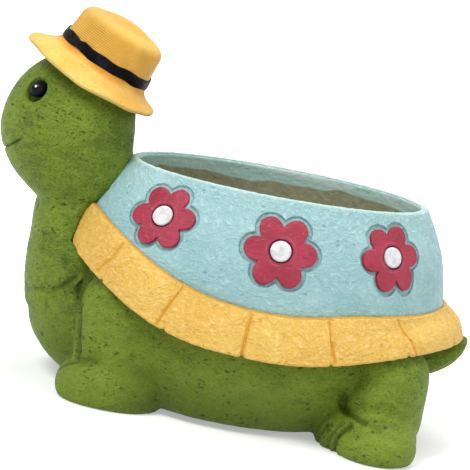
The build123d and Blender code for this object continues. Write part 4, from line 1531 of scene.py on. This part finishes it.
class PLANTER_OT_stage(bpy.types.Operator):
    """Sets the pale floor, the soft lamps and the camera"""

    bl_idname = "planter.stage"
    bl_label = "Stage"

    def execute(self, context):
        scene = context.scene
        only(next(iter(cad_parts.values())))
        bpy.ops.mesh.primitive_plane_add(size=40.0, location=(0, 0, -0.0002))
        floor = context.object
        floor.name = "floor"
        material = bpy.data.materials.new("pale floor")
        material.use_nodes = True
        nodes = Nodes(material.node_tree)
        shader = material.node_tree.nodes["Principled BSDF"]
        shader.inputs["Roughness"].default_value = 0.9
        shader.inputs["Specular IOR Level"].default_value = 0.0
        shader.inputs["Base Color"].default_value = (0.75, 0.75, 0.75, 1)
        place = nodes.add("ShaderNodeTexCoord").outputs["Object"]
        away = nodes.add("ShaderNodeVectorMath", {0: place}, operation="LENGTH").outputs["Value"]
        rays = nodes.add("ShaderNodeLightPath").outputs
        seen = nodes.math("MAXIMUM", rays["Is Camera Ray"], rays["Is Glossy Ray"])
        seen = nodes.math("MAXIMUM", seen, rays["Is Transmission Ray"])
        white = nodes.ramp(away, 0.13, 0.3, 0.38, 1.0)
        shader.inputs["Emission Color"].default_value = (1, 1, 1, 1)
        nodes.feed(shader.inputs["Emission Strength"], nodes.math("MULTIPLY", seen, white))
        floor.data.materials.append(material)

        world = bpy.data.worlds.new("studio")
        world.use_nodes = True
        scene.world = world
        back = world.node_tree.nodes["Background"]
        back.inputs["Color"].default_value = (1, 1, 1, 1)
        nodes = Nodes(world.node_tree)
        rays = nodes.add("ShaderNodeLightPath").outputs
        seen = nodes.math("MAXIMUM", rays["Is Camera Ray"], rays["Is Glossy Ray"])
        seen = nodes.math("MAXIMUM", seen, rays["Is Transmission Ray"])
        nodes.feed(back.inputs["Strength"], nodes.ramp(seen, 0.0, 1.0, 0.42, 1.0))

        def lamp(name, place, power, size):
            data = bpy.data.lights.new(name, "AREA")
            data.energy = power
            data.size = size
            obj = bpy.data.objects.new(name, data)
            scene.collection.objects.link(obj)
            obj.location = place
            obj.rotation_euler = (Vector(LAMP_AIM) - Vector(place)).to_track_quat("-Z", "Y").to_euler()

        lamp("key", (-0.8, -1.0, 1.6), 25.0, 0.7)
        lamp("fill", (1.3, -0.9, 1.0), 9.0, 1.0)
        lamp("top", (0.2, 0.4, 1.7), 14.0, 1.0)

        data = bpy.data.cameras.new("camera")
        data.sensor_width = SENSOR_WIDTH
        data.lens = SENSOR_WIDTH * FOCAL_PIXELS / SIDE_PIXELS
        camera = bpy.data.objects.new("camera", data)
        scene.collection.objects.link(camera)
        look = Vector(CAMERA_AIM) - Vector(CAMERA_PLACE)
        turn = look.to_track_quat("-Z", "Y").to_matrix().to_4x4()
        roll = Matrix.Rotation(CAMERA_ROLL, 4, "Z")
        camera.matrix_world = Matrix.Translation(CAMERA_PLACE) @ turn @ roll
        data.clip_end = 60.0
        scene.camera = camera
        scene.view_settings.view_transform = "Standard"
        return {"FINISHED"}


class PLANTER_PT_panel(bpy.types.Panel):
    """Lists the planter's pieces and their settings"""

    bl_idname = "PLANTER_PT_panel"
    bl_label = "Turtle planter"
    bl_space_type = "VIEW_3D"
    bl_region_type = "UI"
    bl_category = "Turtle Planter"

    def draw(self, context):
        settings = context.scene.turtle_planter
        for step in STEPS:
            self.layout.operator(step.bl_idname)
        parts = ("skin", "shell", "rim", "flowers", "hat", "eyes")
        for group in (getattr(settings, part) for part in parts):
            box = self.layout.box()
            for key in group.bl_rna.properties.keys():
                if key not in ("rna_type", "name"):
                    box.prop(group, key)


STEPS = (
    PLANTER_OT_effects,
    PLANTER_OT_skin,
    PLANTER_OT_shell,
    PLANTER_OT_rim,
    PLANTER_OT_flowers,
    PLANTER_OT_hat,
    PLANTER_OT_band,
    PLANTER_OT_eyes,
    PLANTER_OT_stage,
)
SETTINGS = (
    SkinSettings,
    ShellSettings,
    RimSettings,
    FlowerSettings,
    HatSettings,
    EyeSettings,
    PlanterSettings,
)
CLASSES = (*SETTINGS, *STEPS, PLANTER_PT_panel)


def register():
    """Makes the planter's settings, operators and panel known to Blender."""
    for kind in CLASSES:
        bpy.utils.register_class(kind)
    bpy.types.Scene.turtle_planter = bpy.props.PointerProperty(type=PlanterSettings)


def unregister():
    """Takes them away again."""
    del bpy.types.Scene.turtle_planter
    for kind in reversed(CLASSES):
        bpy.utils.unregister_class(kind)


def main():
    """Builds the planter step by step."""
    register()
    for step in STEPS:
        group, name = step.bl_idname.split(".")
        getattr(getattr(bpy.ops, group), name)()


if __name__ == "__main__":
    main()
